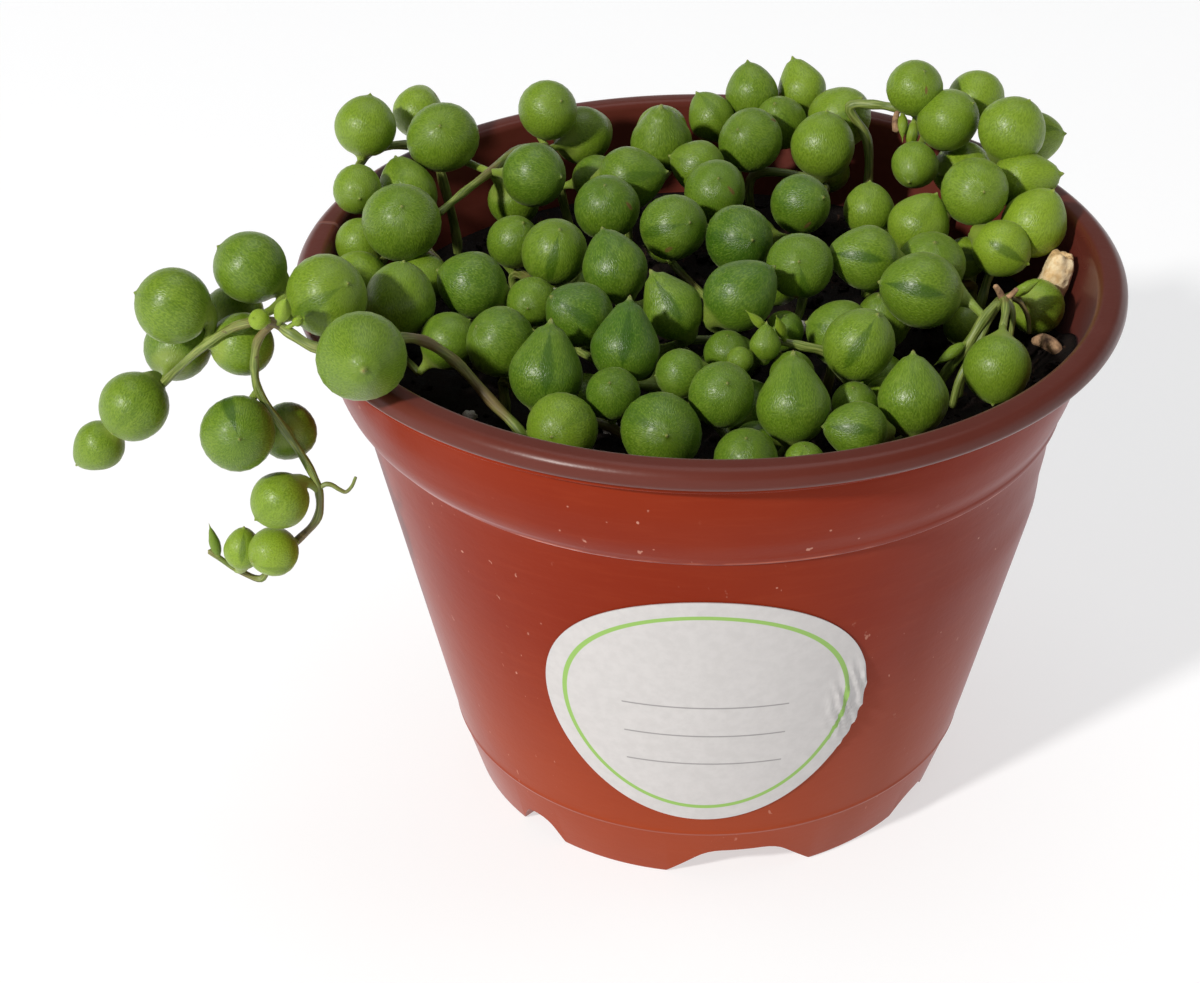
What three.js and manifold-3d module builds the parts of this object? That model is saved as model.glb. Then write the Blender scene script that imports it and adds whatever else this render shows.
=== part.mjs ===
// A string of pearls (a trailing succulent) growing in a two-tone plastic nursery pot with a round label.
// Millimetres, +Z up. The origin is on the ground at the middle of the pot, and the label faces -Y.
import * as THREE from 'three';
import { mergeVertices } from 'three/addons/utils/BufferGeometryUtils.js';
import Module from 'manifold-3d';

// ---------- Driving dimensions ----------

const RIM_OUTER = 54; // a 4 inch pot: 108 mm across its rim
const RIM_INNER = 50.1;
const RIM_TOP = 77.2;
const SKIRT_UNDER = 74.5; // the rim's turned-down lip ends here
const STEP_RADIUS = 47; // the line where the collar meets the straight wall
const STEP_HEIGHT = 60.3;
const BASE_LINE_RADIUS = 35.4;
const BASE_LINE_HEIGHT = 9.5;
const FOOT_RADIUS = 32.6;
const WALL = 1.3;
const POT_SIDES = 48;

const COLLAR = [[48.7, 63.6], [50.1, 68.2], [50.8, 72], [50.9, 73.2]]; // radius and height, above the step
const LIP = [[52.3, 73.4], [52.4, SKIRT_UNDER]]; // a thin ledge right under the rim

const FLOOR_UNDER = 6.3; // the floor hangs above the ground between the foot ring and its middle disc
const FLOOR_TOP = 7.7;
const FOOT_RING = 2;
const MIDDLE_DISC = 12;
const DRAIN_RADIUS = 2.6;
const DRAIN_CIRCLE = 22;
const DRAIN_SIDES = 12;
const NOTCH_TAPER = 0.47; // how wide a scallop is at its top, against its foot
const NOTCH_DEPTHS = [24, 38]; // the cut through the foot ring, from the pot's middle
// The scallops in the foot ring: degrees anticlockwise from the front, degrees of width, and height
const NOTCHES = [[10, 36, 5.3], [61, 17, 2.8], [129, 23, 3.9], [189.5, 35, 5.2], [249, 23, 3.9],
  [319, 14.5, 3.9]];
// The soft plastic has given way: how far its wall stands out at the right, and how far its collar leans
// to the left, for heights from the ground up
const BULGE = [[0, 1.2], [15, 1.5], [45, 1.5], [52, 0.6], [58, 0]];
const COLLAR_SHIFT = [[STEP_HEIGHT, 0], [62, 0.65], [73, 0.65], [SKIRT_UNDER, 0]];

const CLEAR = 0.3; // air between touching pieces
const SOIL_TOP = 64;
const SOIL_RELIEF = 1.1;
const SOIL_SIDES = 32;
const SOIL_RINGS = 6;
const ROOT_DEPTH = 3;
const ROOT_RISE = 1.2; // how far a stem stands straight up out of the soil
const ROOTS_WITHIN = 44; // the mound's stems leave the soil no further from its middle
const HOLE_HEIGHT = 8; // a stem's hole is cut from under its root to above the soil
const HOLE_SIDES = 6;
const LABEL_RADIUS = 21;
const LABEL_HEIGHT = 33;
const LABEL_TURN = 0.8; // degrees anticlockwise from the front
const LABEL_SIDES = 24;
const LABEL_AIR = 0.2; // between the label and the wall
const PAPER = 0.3;
const STONE = { centre: [45.6, 6.4, 70.5], half: [1.9, 2.5, 5], lean: 0.3, dents: [0.82, 1], seed: 3 };
const HEAP = 1.6; // how much higher the soil is under the stone

const STEM = 0.85; // stem radius
const NECK = 0.5; // radius of the short stalk under each pearl
const STALK_MIN = 0.7; // bare stalk between the stem and its pearl
const STALK_MAX = 2.6;
const FUNNEL_MAX = STEM + STALK_MAX; // from the stem's middle; a longer stalk is bare
const PEARL_GAP = 0.45;
const PEARL_SIDES = 7;
// A pearl's outline from its stalk to its tip, in radii: its own radius, and the height above its middle
const PEARL_OUTLINE = [[0.8, -0.58], [1, 0], [0.8, 0.6], [0, 1.08]];
const WALL_LEAN = 0.22; // how far the inner wall above the soil leans out for each mm of height

// ---------- Strands placed by hand ----------
// routes: where a stem runs, from where it leaves the soil; a second route is a branch of the first.
// pearls: x, y, z and diameter, each borne by the nearest point of its strand's routes.

const HAND_PLACED = {
  trailing: {
    routes: [
      [[-21.5, -33], [-22.3, -32, 68.5], [-26.3, -29.6, 72], [-30.7, -27.2, 76], [-34.3, -27.6, 79],
        [-37, -29.7, 80.6], [-41.7, -30.6, 80.2], [-46.7, -31.5, 80], [-50.1, -30.6, 81.5],
        [-52.4, -28.9, 82], [-56.9, -27, 80.5], [-61.6, -26, 77.1], [-67.4, -25, 71.2], [-72, -24.5, 66]],
      [[-52.4, -28.9, 82], [-54.6, -28.2, 79], [-55.3, -28, 75.5], [-55.1, -28, 72], [-52.2, -28, 66.3],
        [-49.6, -28, 61], [-48.6, -28, 57.5], [-49, -28, 53.5], [-51.8, -28, 50], [-55.5, -28, 46.5],
        [-57, -28, 43.9], [-60, -28, 45.3], [-63.3, -28, 48]],
    ],
    pearls: [[-40.5, -37.6, 82.3, 10.3], [-46.6, -23, 82.5, 9.8], [-56.6, -19, 84.2, 8.9],
      [-59.8, -16.4, 76, 7.8], [-57.6, -23.4, 75.8, 7.7], [-65.5, -24, 81.4, 9.2], [-67, -18, 72.4, 8.3],
      [-71.1, -27, 68.8, 8.5], [-76.7, -25, 61.8, 6.2], [-57.6, -31, 67.6, 9.1], [-52.6, -24, 63.8, 7.1],
      [-53, -31, 57.9, 7.1], [-54.4, -31, 50.2, 6.1], [-58.8, -29, 49, 4.9], [-17.2, -35.8, 72, 8.4]],
  },
  back_left: {
    routes: [[[-20, 30], [-21.5, 31, 72], [-23, 30.4, 78], [-26.8, 28.1, 79], [-30.2, 19.7, 79.5],
      [-33.4, 13.6, 79.2], [-36.1, 8.7, 78.6]]],
    pearls: [[-23, 31.8, 83.5, 8.1], [-23.9, 15.7, 81, 8.4], [-36.8, 22.2, 83.4, 9.5],
      [-18.4, 36.8, 77.5, 8.2], [-27.3, 22.7, 73.8, 7], [-16.1, 27.8, 75, 6.5]],
  },
  over_left_rim: {
    routes: [[[-36, 27], [-37.5, 27, 74], [-39, 27, 79], [-42, 26.4, 80.3], [-46.5, 25.3, 80.2],
      [-48.2, 21, 80], [-48.6, 16.6, 80.4]]],
    pearls: [[-47.5, 23, 84.5, 8], [-41.3, 31.6, 83, 7], [-47.3, 10.8, 80.9, 6.5]],
  },
  left_rim: {
    routes: [[[-33, 3], [-34, 2, 70], [-36.5, 4, 74], [-41, 5.5, 75.5], [-43.5, 1, 74.5],
      [-43, -4.5, 73.3], [-42, -9.5, 72.3], [-39.8, -14, 70.6], [-36.5, -17.8, 69]],
    [[-36.5, 4, 74], [-38.6, 8.5, 74.8], [-39.4, 11.5, 74.6]]],
    pearls: [[-40.2, 0.8, 81, 9.9], [-41.3, 15.8, 78, 8.2], [-46.2, 3.4, 76.6, 6.4],
      [-45.6, -3.2, 74.6, 7.2], [-39, -13.3, 77, 8.9], [-37.2, -1.6, 74, 6.5],
      [-32.6, -16.6, 73, 7.2]],
  },
  high_right: {
    routes: [[[22, 31], [22.3, 31.5, 72], [21.9, 33.2, 79], [19.3, 34, 83.6], [22.5, 33.4, 84.2],
      [25.6, 32.8, 84], [28.3, 32.2, 83.4], [29.5, 29, 81.5]]],
    pearls: [[27.9, 30.5, 88, 7.5], [32.5, 27.7, 84.5, 8.3], [27.9, 22.7, 80, 6.3]],
  },
  over_right_rim: {
    routes: [[[36, 16], [37.5, 18, 72], [38.5, 20, 78.5], [39, 25, 80], [40, 29.5, 80.5]]],
    pearls: [[37, 36, 84, 7.9], [40.7, 22.4, 85.5, 8.7], [44.3, 28.6, 81.6, 7.4], [35.2, 12.3, 81, 8.8],
      [42.2, 19.4, 79.5, 7.9]],
  },
  right_arch: {
    routes: [[[29.5, -13], [30.6, -13.2, 68], [32.6, -12.9, 71], [35, -11, 74.5], [37.3, -8.5, 75.8],
      [37.5, -11.5, 76.2], [36.9, -15, 75.3]],
    [[37.3, -8.5, 75.8], [39.2, -5.5, 75], [40.3, -3.2, 73]]],
    pearls: [[36, -20.3, 72.5, 8.2], [43.2, 0.7, 70, 7.1], [27.2, -8.4, 77, 9.7]],
  },
  right_wall: {
    routes: [[[36, 6], [36.5, 6, 68], [38, 9, 71], [41, 11.5, 71.5]]],
    pearls: [[43.2, 11, 77, 8.6], [38.6, 6.8, 75.5, 7.4]],
  },
  back_rim: {
    routes: [[[4, 36], [4.2, 37, 70], [3.6, 38.3, 73.4], [7, 39, 74.5], [11, 40, 75.5], [15, 40.5, 75.8]]],
    pearls: [[0, 39.9, 79, 6.6], [5.7, 42.1, 82, 7.2], [9.9, 37.5, 79.5, 7.4], [12.9, 44.7, 81.5, 6.8],
      [18.1, 38.2, 80, 8.8]],
  },
  budding: {
    routes: [[[15, -17.2], [15.2, -17.8, 68], [15.3, -18.6, 73], [11.5, -19, 74.5], [8.5, -19, 75.2]]],
    pearls: [[4, -23.8, 75, 3.2], [7.1, -21.7, 76, 3.7]],
  },
};

// ---------- Strands of the mound ----------
// Their upper pearls are placed where the photograph shows them, on a mound that slopes to the front. The
// stem runs under them from one to the next, and here and there it has a lower pearl beside it too.

const CAMERA_AT = [0, -292.48, 225.43]; // the camera that took the photograph
const CAMERA_TURN = [57.721, 0.378, 2.6]; // degrees about X, then Y, then Z
const FOCAL_PIXELS = 2500;
const MIDDLE_PIXEL = [600, 491.5];

// Pearl by pearl from the root: the pixel of its middle, its diameter in mm, and mm under the mound's top
const SEEN = {
  front_left: [[502, 343, 8.4, 0], [545, 373, 8.8, 0], [610, 395, 6.3, 0], [663, 431, 9.3, 0]],
  front_middle: [[683, 375, 6, 1.5], [725, 396, 7.8, 0], [746, 461, 7.6, 0], [792, 407, 8.7, 0],
    [804, 461, 4.6, 0.5]],
  front_right: [[791, 367, 5.6, 4], [859, 399, 5.5, 3], [851, 427, 6.9, 0], [909, 400, 8.3, 0]],
  middle_left: [[473, 285, 8.5, 0], [532, 302, 6.4, 2.5], [580, 315, 8.2, 0], [625, 349, 8.3, 0]],
  left_ridge: [[513, 242, 6.9, 3], [555, 252, 8.5, 0], [607, 208, 8.5, 0], [615, 269, 8.3, 0]],
  centre: [[727, 353, 5.6, 4.5], [679, 308, 7.4, 1.5], [733, 297, 8.7, 0], [674, 227, 8.6, 0]],
  centre_back: [[629, 178, 8.2, 0], [661, 142, 8.4, 0], [683, 126, 7.4, 2.3], [699, 166, 6.9, 0.5],
    [715, 192, 8.3, 0], [738, 239, 8.7, 0]],
  back_right: [[755, 138, 8.7, 0], [823, 146, 8.7, 0], [800, 204, 7.8, 0], [800, 266, 8.3, 0],
    [784, 331, 5, 5]],
  right_ridge: [[961, 151, 8, 0], [923, 221, 7.7, 1], [871, 211, 6.7, 2], [869, 259, 8.1, 0]],
  right_front: [[976, 258, 5.6, 5], [931, 265, 8.6, 2.4], [889, 316, 7, 6.5], [842, 335, 8.1, 4.5],
    [859, 351, 8.7, 0]],
};
const STALK = 1.5; // bare stalk under a pearl that was seen
const STALK_AXIS = [0, -0.25, 0.968]; // such a pearl leans to the front a little
const LOW_SHARE = 0.5; // of a stem's points, those with a lower pearl
const LOW_REACH = 6.5; // sideways from the stem to a lower pearl's middle
const LOW_DROP = 1;
const LOW_DIAMETERS = [5.4, 7.2];
const SEED = 3;

function seeded(state) {
  return (low, high) => {
    state = (state * 1664525 + 1013904223) % 4294967296;
    return low + (high - low) * state / 4294967296;
  };
}

/** A stem's first two points: it stands straight in its hole in the soil. */
const rootAt = (x, y) => [[x, y, SOIL_TOP - ROOT_DEPTH], [x, y, SOIL_TOP + ROOT_RISE]];

const distance = (a, b) => Math.hypot(b[0] - a[0], b[1] - a[1], b[2] - a[2]);

/** The inner wall's radius at a height above the soil. */
const innerRadius = (z) => RIM_INNER - (RIM_TOP - Math.min(z, RIM_TOP)) * WALL_LEAN;

/** The height of the uppermost pearls' middles: a low mound, sloping down to the front. */
function canopy(x, y) {
  const edge = (Math.hypot(x, y) / 42) ** 3;
  return 79 + 0.045 * y - 4 * edge * (1 - y / 45);
}

/** Adds a route's points to a strand, sharing the point where a branch leaves the main stem. */
function addRoute(strand, route) {
  let last = -1;
  for (const point of route) {
    let here = strand.nodes.findIndex((node) => distance(node, point) === 0);
    if (here < 0) here = strand.nodes.push([...point]) - 1;
    if (last >= 0) strand.links.push([last, here]);
    last = here;
  }
}

function handPlaced(name) {
  const [[root, ...main], ...branches] = HAND_PLACED[name].routes;
  const routes = [[...rootAt(...root), ...main], ...branches];
  const strand = { name, routes, nodes: [], links: [], pearls: [], loose: 0 };
  strand.routes.forEach((route) => addRoute(strand, route));
  strand.held = strand.nodes.length;
  for (const [x, y, z, diameter] of HAND_PLACED[name].pearls) {
    const at = [x, y, z];
    const reach = strand.nodes.map((node) => distance(node, at));
    strand.pearls.push({ node: reach.indexOf(Math.min(...reach)), at, r: diameter / 2 });
  }
  return strand;
}

/** Where a pixel of the photograph falls on the mound, some way under its top. */
function seenAt(px, py, lower) {
  const turn = new THREE.Euler(...CAMERA_TURN.map(THREE.MathUtils.degToRad), 'ZYX');
  const across = (px - MIDDLE_PIXEL[0]) / FOCAL_PIXELS;
  const up = (MIDDLE_PIXEL[1] - py) / FOCAL_PIXELS;
  const ray = new THREE.Vector3(across, up, -1).applyEuler(turn);
  const atHeight = (z) => {
    const reach = (z - CAMERA_AT[2]) / ray.z;
    return [CAMERA_AT[0] + ray.x * reach, CAMERA_AT[1] + ray.y * reach, z];
  };
  let [low, high] = [SOIL_TOP - 5, RIM_TOP + 20];
  for (let halving = 0; halving < 40; halving += 1) {
    const [x, y, z] = atHeight((low + high) / 2);
    if (z > canopy(x, y) - lower) high = z;
    else low = z;
  }
  return atHeight(low);
}

/** One creeping strand, from pearl to pearl, with lower pearls on alternate sides. */
function moundStrand(name, draw) {
  const strand = { name, nodes: [], links: [], pearls: [], loose: 1, held: 2 };
  SEEN[name].forEach(([px, py, diameter, lower], k) => {
    const at = seenAt(px, py, lower);
    const reach = diameter / 2 + STEM + STALK;
    const node = at.map((place, c) => place - STALK_AXIS[c] * reach);
    node[2] = Math.max(node[2], SOIL_TOP + STEM + WALL_AIR);
    const inward = Math.min(1, ROOTS_WITHIN / Math.hypot(node[0], node[1]));
    if (k === 0) strand.nodes.push(...rootAt(node[0] * inward, node[1] * inward));
    strand.nodes.push(node);
    strand.pearls.push({ node: k + 2, at, r: diameter / 2 });
  });
  for (let j = 3; j < strand.nodes.length; j += 1) {
    if (draw(0, 1) > LOW_SHARE) continue;
    const [before, here] = [strand.nodes[j - 1], strand.nodes[j]];
    const [dx, dy] = [here[0] - before[0], here[1] - before[1]];
    const sideways = (j % 2 ? 1 : -1) * LOW_REACH / Math.hypot(dx, dy);
    const at = [here[0] - dy * sideways, here[1] + dx * sideways, here[2] - LOW_DROP];
    strand.pearls.push({ node: j, at, r: draw(...LOW_DIAMETERS) / 2 });
  }
  for (let j = 1; j < strand.nodes.length; j += 1) strand.links.push([j - 1, j]);
  return strand;
}

function planStrands() {
  const draw = seeded(SEED);
  const mound = Object.keys(SEEN).map((name) => moundStrand(name, draw));
  return [...Object.keys(HAND_PLACED).map(handPlaced), ...mound];
}

// ---------- Settling: the strands push each other apart, and the pot and soil push them back ----------

const SETTLE_STEPS = 170;
const LAST_STEPS = 60; // of them, those that only push the pieces apart
const PULL = 0.04; // of the way home in a step
const STEM_GIVE = 0.6; // of a stem's stretch, what a step takes away
const NODE_SHARE = 0.4; // of a stalk's correction, what its stem takes, and its pearl the rest
const LOOK_EVERY = 20; // steps from one search for near pairs to the next
const NEAR = 4; // pieces closer than this can meet before the next search
const NEAR_RODS = 18; // from start to start
const WALL_AIR = 0.4; // between a strand and the pot or soil

/** The point of the rod a-b nearest to p, as its share of the way and its place. */
function nearest(a, b, p) {
  const ab = [b[0] - a[0], b[1] - a[1], b[2] - a[2]];
  const length2 = ab[0] * ab[0] + ab[1] * ab[1] + ab[2] * ab[2];
  const dot = (p[0] - a[0]) * ab[0] + (p[1] - a[1]) * ab[1] + (p[2] - a[2]) * ab[2];
  const t = Math.max(0, Math.min(1, dot / length2));
  return [t, [a[0] + ab[0] * t, a[1] + ab[1] * t, a[2] + ab[2] * t]];
}

/** Moves weighted points so that `from` and `to`, which they carry, end `need` apart. */
function part(from, to, need, fromEnds, toEnds) {
  const d = distance(from, to);
  const ends = [...fromEnds.map(([p, w, share]) => [p, -w, share]), ...toEnds];
  const give = ends.reduce((sum, [, w, share]) => sum + Math.abs(w) * share, 0);
  if (give === 0 || d === 0) return;
  const factor = (need - d) / d / give;
  const move = [0, 1, 2].map((c) => (to[c] - from[c]) * factor);
  for (const [p, w] of ends) {
    for (let c = 0; c < 3; c += 1) p[c] += move[c] * w;
  }
}

/** Keeps a ball of radius r above the soil and out of the pot's wall and rim. */
function keepInPot(p, r) {
  const rho = Math.hypot(p[0], p[1]);
  if (rho < RIM_INNER && p[2] < SOIL_TOP + r) p[2] = SOIL_TOP + r;
  const wall = innerRadius(p[2]);
  const nearRho = Math.max(wall, Math.min(RIM_OUTER, rho));
  const nearZ = Math.min(p[2], RIM_TOP);
  const d = Math.hypot(rho - nearRho, p[2] - nearZ);
  if (d >= r) return;
  const rhoNew = d === 0 ? wall - r : nearRho + (rho - nearRho) / d * r;
  if (d > 0) p[2] = nearZ + (p[2] - nearZ) / d * r;
  p[0] *= rhoNew / rho;
  p[1] *= rhoNew / rho;
}

function pullHome(strand) {
  for (let i = strand.held; i < strand.nodes.length; i += 1) {
    for (let c = 0; c < 3; c += 1) strand.nodes[i][c] += (strand.home[i][c] - strand.nodes[i][c]) * PULL;
  }
  for (const pearl of strand.pearls) {
    for (let c = 0; c < 3; c += 1) pearl.at[c] += (pearl.home[c] - pearl.at[c]) * PULL;
  }
}

/** The pairs that can meet soon: pearl and pearl, pearl and rod, rod and rod. Stems and stalks are rods. */
function findPairs(balls, rods) {
  const pairs = { balls: [], mixed: [], rods: [] };
  balls.forEach((A, i) => {
    for (const B of balls.slice(i + 1)) {
      if (A.w + B.w > 0 && distance(A.at, B.at) < A.r + B.r + NEAR) pairs.balls.push([A, B]);
    }
    for (const Q of rods) {
      const own = A.strand === Q.strand && (Q.stalk || A.node === Q.i || A.node === Q.j);
      if (own || A.w + Q.wa + Q.wb === 0) continue;
      if (distance(A.at, nearest(Q.a, Q.b, A.at)[1]) < A.r + STEM + NEAR) pairs.mixed.push([A, Q]);
    }
  });
  rods.forEach((P, i) => {
    for (const Q of rods.slice(i + 1)) {
      const loose = P.wa + P.wb + Q.wa + Q.wb > 0;
      if (loose && P.strand !== Q.strand && distance(P.a, Q.a) < NEAR_RODS) pairs.rods.push([P, Q]);
    }
  });
  return pairs;
}

function pushApart(pairs) {
  for (const [A, B] of pairs.balls) {
    const need = A.r + B.r + PEARL_GAP;
    if (distance(A.at, B.at) < need) part(A.at, B.at, need, [[A.at, A.w, 1]], [[B.at, B.w, 1]]);
  }
  for (const [A, Q] of pairs.mixed) {
    const need = A.r + Q.r + PEARL_GAP;
    const [t, near] = nearest(Q.a, Q.b, A.at);
    if (distance(A.at, near) < need) {
      part(A.at, near, need, [[A.at, A.w, 1]], [[Q.a, Q.wa * (1 - t), 1 - t], [Q.b, Q.wb * t, t]]);
    }
  }
  for (const [P, Q] of pairs.rods) {
    for (const u of [0, 0.5, 1]) {
      const need = P.r + Q.r + PEARL_GAP;
      const at = [0, 1, 2].map((c) => P.a[c] + (P.b[c] - P.a[c]) * u);
      const [t, near] = nearest(Q.a, Q.b, at);
      if (distance(at, near) < need) {
        part(at, near, need, [[P.a, P.wa * (1 - u), 1 - u], [P.b, P.wb * u, u]],
          [[Q.a, Q.wa * (1 - t), 1 - t], [Q.b, Q.wb * t, t]]);
      }
    }
  }
}

function settle(strands) {
  const balls = [];
  const rods = [];
  for (const strand of strands) {
    strand.home = strand.nodes.map((node) => [...node]);
    for (const pearl of strand.pearls) {
      pearl.home = [...pearl.at];
      pearl.w = strand.loose;
      pearl.strand = strand;
      balls.push(pearl);
    }
  }
  const weight = (strand, node) => (node < strand.held ? 0 : strand.loose);
  for (const strand of strands) {
    for (const [i, j] of strand.links) {
      const [a, b] = [strand.nodes[i], strand.nodes[j]];
      const weights = { wa: weight(strand, i), wb: weight(strand, j) };
      rods.push({ strand, i, j, a, b, r: STEM, length: distance(a, b), ...weights });
    }
  }
  const stems = [...rods];
  for (const { strand, node, at, w } of balls) {
    const weights = { wa: weight(strand, node), wb: w };
    rods.push({ strand, stalk: true, a: strand.nodes[node], b: at, r: NECK, ...weights });
  }
  const growing = strands.filter((strand) => strand.loose);
  let pairs;
  for (let step = 0; step < SETTLE_STEPS; step += 1) {
    if (step < SETTLE_STEPS - LAST_STEPS) growing.forEach((strand) => pullHome(strand));
    for (const { a, b, wa, wb, length } of stems) {
      const softened = distance(a, b) + STEM_GIVE * (length - distance(a, b));
      part(a, b, softened, [[a, wa, 1]], [[b, wb, 1]]);
    }
    for (const { strand, node, at, r, w } of balls) {
      if (!w) continue;
      const d = distance(strand.nodes[node], at);
      const want = Math.min(Math.max(d, r + STEM + STALK_MIN), r + STEM + STALK_MAX);
      part(strand.nodes[node], at, want, [[strand.nodes[node], NODE_SHARE, 1]], [[at, 1 - NODE_SHARE, 1]]);
    }
    if (step % LOOK_EVERY === 0) pairs = findPairs(balls, rods);
    pushApart(pairs);
    for (const strand of growing) {
      strand.pearls.forEach((pearl) => keepInPot(pearl.at, pearl.r + WALL_AIR));
      strand.nodes.slice(strand.held).forEach((node) => keepInPot(node, STEM + WALL_AIR));
    }
  }
}

// ---------- Solids ----------

const wasm = await Module();
wasm.setup();

/** A closed geometry as a solid that can be joined and cut. */
function solid(geometry) {
  const bare = geometry.clone();
  bare.deleteAttribute('normal');
  bare.deleteAttribute('uv');
  const merged = mergeVertices(bare, 1e-4);
  return new wasm.Manifold(new wasm.Mesh({
    numProp: 3,
    vertProperties: new Float32Array(merged.attributes.position.array),
    triVerts: new Uint32Array(merged.index.array),
  }));
}

function geometryOf(shape) {
  const { vertProperties, triVerts } = shape.getMesh();
  const geometry = new THREE.BufferGeometry();
  geometry.setAttribute('position', new THREE.BufferAttribute(vertProperties, 3));
  geometry.setIndex(new THREE.BufferAttribute(triVerts, 1));
  return geometry;
}

/** A body turned around +Z from its outline of [radius, height] points, which starts and ends on the axis. */
function turned(outline, sides) {
  const points = outline.map(([r, z]) => new THREE.Vector2(r, z));
  return new THREE.LatheGeometry(points, sides).rotateX(Math.PI / 2);
}

function named(name, geometry, material) {
  const piece = new THREE.Mesh(geometry, material);
  piece.name = name;
  geometry.computeVertexNormals();
  return piece;
}

// ---------- Pot ----------

const innerFloorRadius = FOOT_RADIUS + (BASE_LINE_RADIUS - FOOT_RADIUS) * FLOOR_TOP / BASE_LINE_HEIGHT - WALL;
const WALL_TOP = [STEP_RADIUS - 0.5, STEP_HEIGHT - 0.5];
const INNER_WALL_TOP = [STEP_RADIUS - 0.5 - WALL, STEP_HEIGHT - 1];
const wallLean = (WALL_TOP[0] - BASE_LINE_RADIUS) / (WALL_TOP[1] - BASE_LINE_HEIGHT);

/** The straight wall's outer radius at a height. */
const wallRadius = (z) => BASE_LINE_RADIUS + (z - BASE_LINE_HEIGHT) * wallLean;

/** The radius inside the straight wall at a height. */
function insideRadius(z) {
  const share = (z - FLOOR_TOP) / (INNER_WALL_TOP[1] - FLOOR_TOP);
  return innerFloorRadius + (INNER_WALL_TOP[0] - innerFloorRadius) * share;
}

/** The heights at which the straight wall bends with its bulge. */
const BENDS = BULGE.map(([z]) => z).filter((z) => z > BASE_LINE_HEIGHT);

/** A value at a height, from a list of heights and values. */
function atHeightOf(list, z) {
  const next = list.findIndex(([height]) => height > z);
  if (next < 0) return list.at(-1)[1];
  if (next === 0) return list[0][1];
  const [[z0, a], [z1, b]] = [list[next - 1], list[next]];
  return a + (b - a) * (z - z0) / (z1 - z0);
}

/** Moves a geometry's points with the pot's soft wall: out at the right, and a collar's to the left. */
function giveWay(geometry) {
  const { position } = geometry.attributes;
  for (let i = 0; i < position.count; i += 1) {
    const [x, y, z] = [position.getX(i), position.getY(i), position.getZ(i)];
    const rho = Math.hypot(x, y);
    const right = (Math.max(0, x) / Math.max(rho, FOOT_RADIUS)) ** 4;
    const out = rho > 0 ? 1 + atHeightOf(BULGE, z) * right / rho : 1;
    const isOutside = rho > innerRadius(z) + WALL / 2;
    position.setXYZ(i, x * out - (isOutside ? atHeightOf(COLLAR_SHIFT, z) : 0), y * out, z);
  }
  return geometry;
}

function potOutline() {
  return [[0, 0], [MIDDLE_DISC, 0], [MIDDLE_DISC + 0.8, FLOOR_UNDER], [FOOT_RADIUS - FOOT_RING, FLOOR_UNDER],
    [FOOT_RADIUS - FOOT_RING, 0], [FOOT_RADIUS, 0], [BASE_LINE_RADIUS, BASE_LINE_HEIGHT],
    ...BENDS.map((z) => [wallRadius(z), z]), WALL_TOP, [STEP_RADIUS, STEP_HEIGHT], ...COLLAR, ...LIP,
    [RIM_OUTER - 0.5, SKIRT_UNDER], [RIM_OUTER, SKIRT_UNDER + 0.6], [RIM_OUTER - 0.1, RIM_TOP - 0.9],
    [RIM_OUTER - 1, RIM_TOP], [RIM_INNER + 0.6, RIM_TOP], [RIM_INNER, RIM_TOP - 0.6],
    [innerRadius(SOIL_TOP), SOIL_TOP], INNER_WALL_TOP, ...BENDS.map((z) => [insideRadius(z), z]).reverse(),
    [innerFloorRadius, FLOOR_TOP], [0, FLOOR_TOP]];
}

/** A bar with sloping ends that cuts one scallop out of the foot ring, seen from the front. */
function notchCutter([turn, width, height]) {
  const foot = FOOT_RADIUS * Math.sin(THREE.MathUtils.degToRad(width / 2));
  const top = foot * NOTCH_TAPER;
  const below = 1;
  const flare = (foot - top) * below / height;
  const outline = new THREE.Shape([
    new THREE.Vector2(-foot - flare, -below), new THREE.Vector2(foot + flare, -below),
    new THREE.Vector2(top, height), new THREE.Vector2(-top, height),
  ]);
  const [near, far] = NOTCH_DEPTHS;
  const bar = new THREE.ExtrudeGeometry(outline, { depth: far - near, bevelEnabled: false });
  bar.rotateX(Math.PI / 2).translate(0, -near, 0);
  return solid(bar.rotateZ(THREE.MathUtils.degToRad(turn)));
}

function drainCutter([turn]) {
  const height = 2 * (FLOOR_TOP - FLOOR_UNDER) + 1;
  const hole = new THREE.CylinderGeometry(DRAIN_RADIUS, DRAIN_RADIUS, height, DRAIN_SIDES);
  hole.rotateX(Math.PI / 2).translate(0, -DRAIN_CIRCLE, FLOOR_UNDER);
  return solid(hole.rotateZ(THREE.MathUtils.degToRad(turn)));
}

function makePot() {
  let pot = solid(giveWay(turned(potOutline(), POT_SIDES)));
  for (const notch of NOTCHES) pot = pot.subtract(notchCutter(notch)).subtract(drainCutter(notch));
  return geometryOf(pot);
}

// ---------- Soil, with a plain hole for each stem ----------

/** Rolling, crumbly relief that stays under the soil's top, except for a little heap under the stone. */
function soilHeight(x, y) {
  const rolling = Math.sin(0.31 * x + 1.3) * Math.cos(0.27 * y - 0.6);
  const crumbs = Math.sin(1.7 * x + 0.9 * y) * Math.sin(1.3 * y - 0.8 * x);
  const heap = HEAP * Math.exp(-((x - STONE.centre[0] + 1.5) ** 2 + (y - STONE.centre[1]) ** 2) / 18);
  return SOIL_TOP + heap - SOIL_RELIEF * (0.5 + 0.3 * rolling + 0.2 * crumbs);
}

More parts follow.
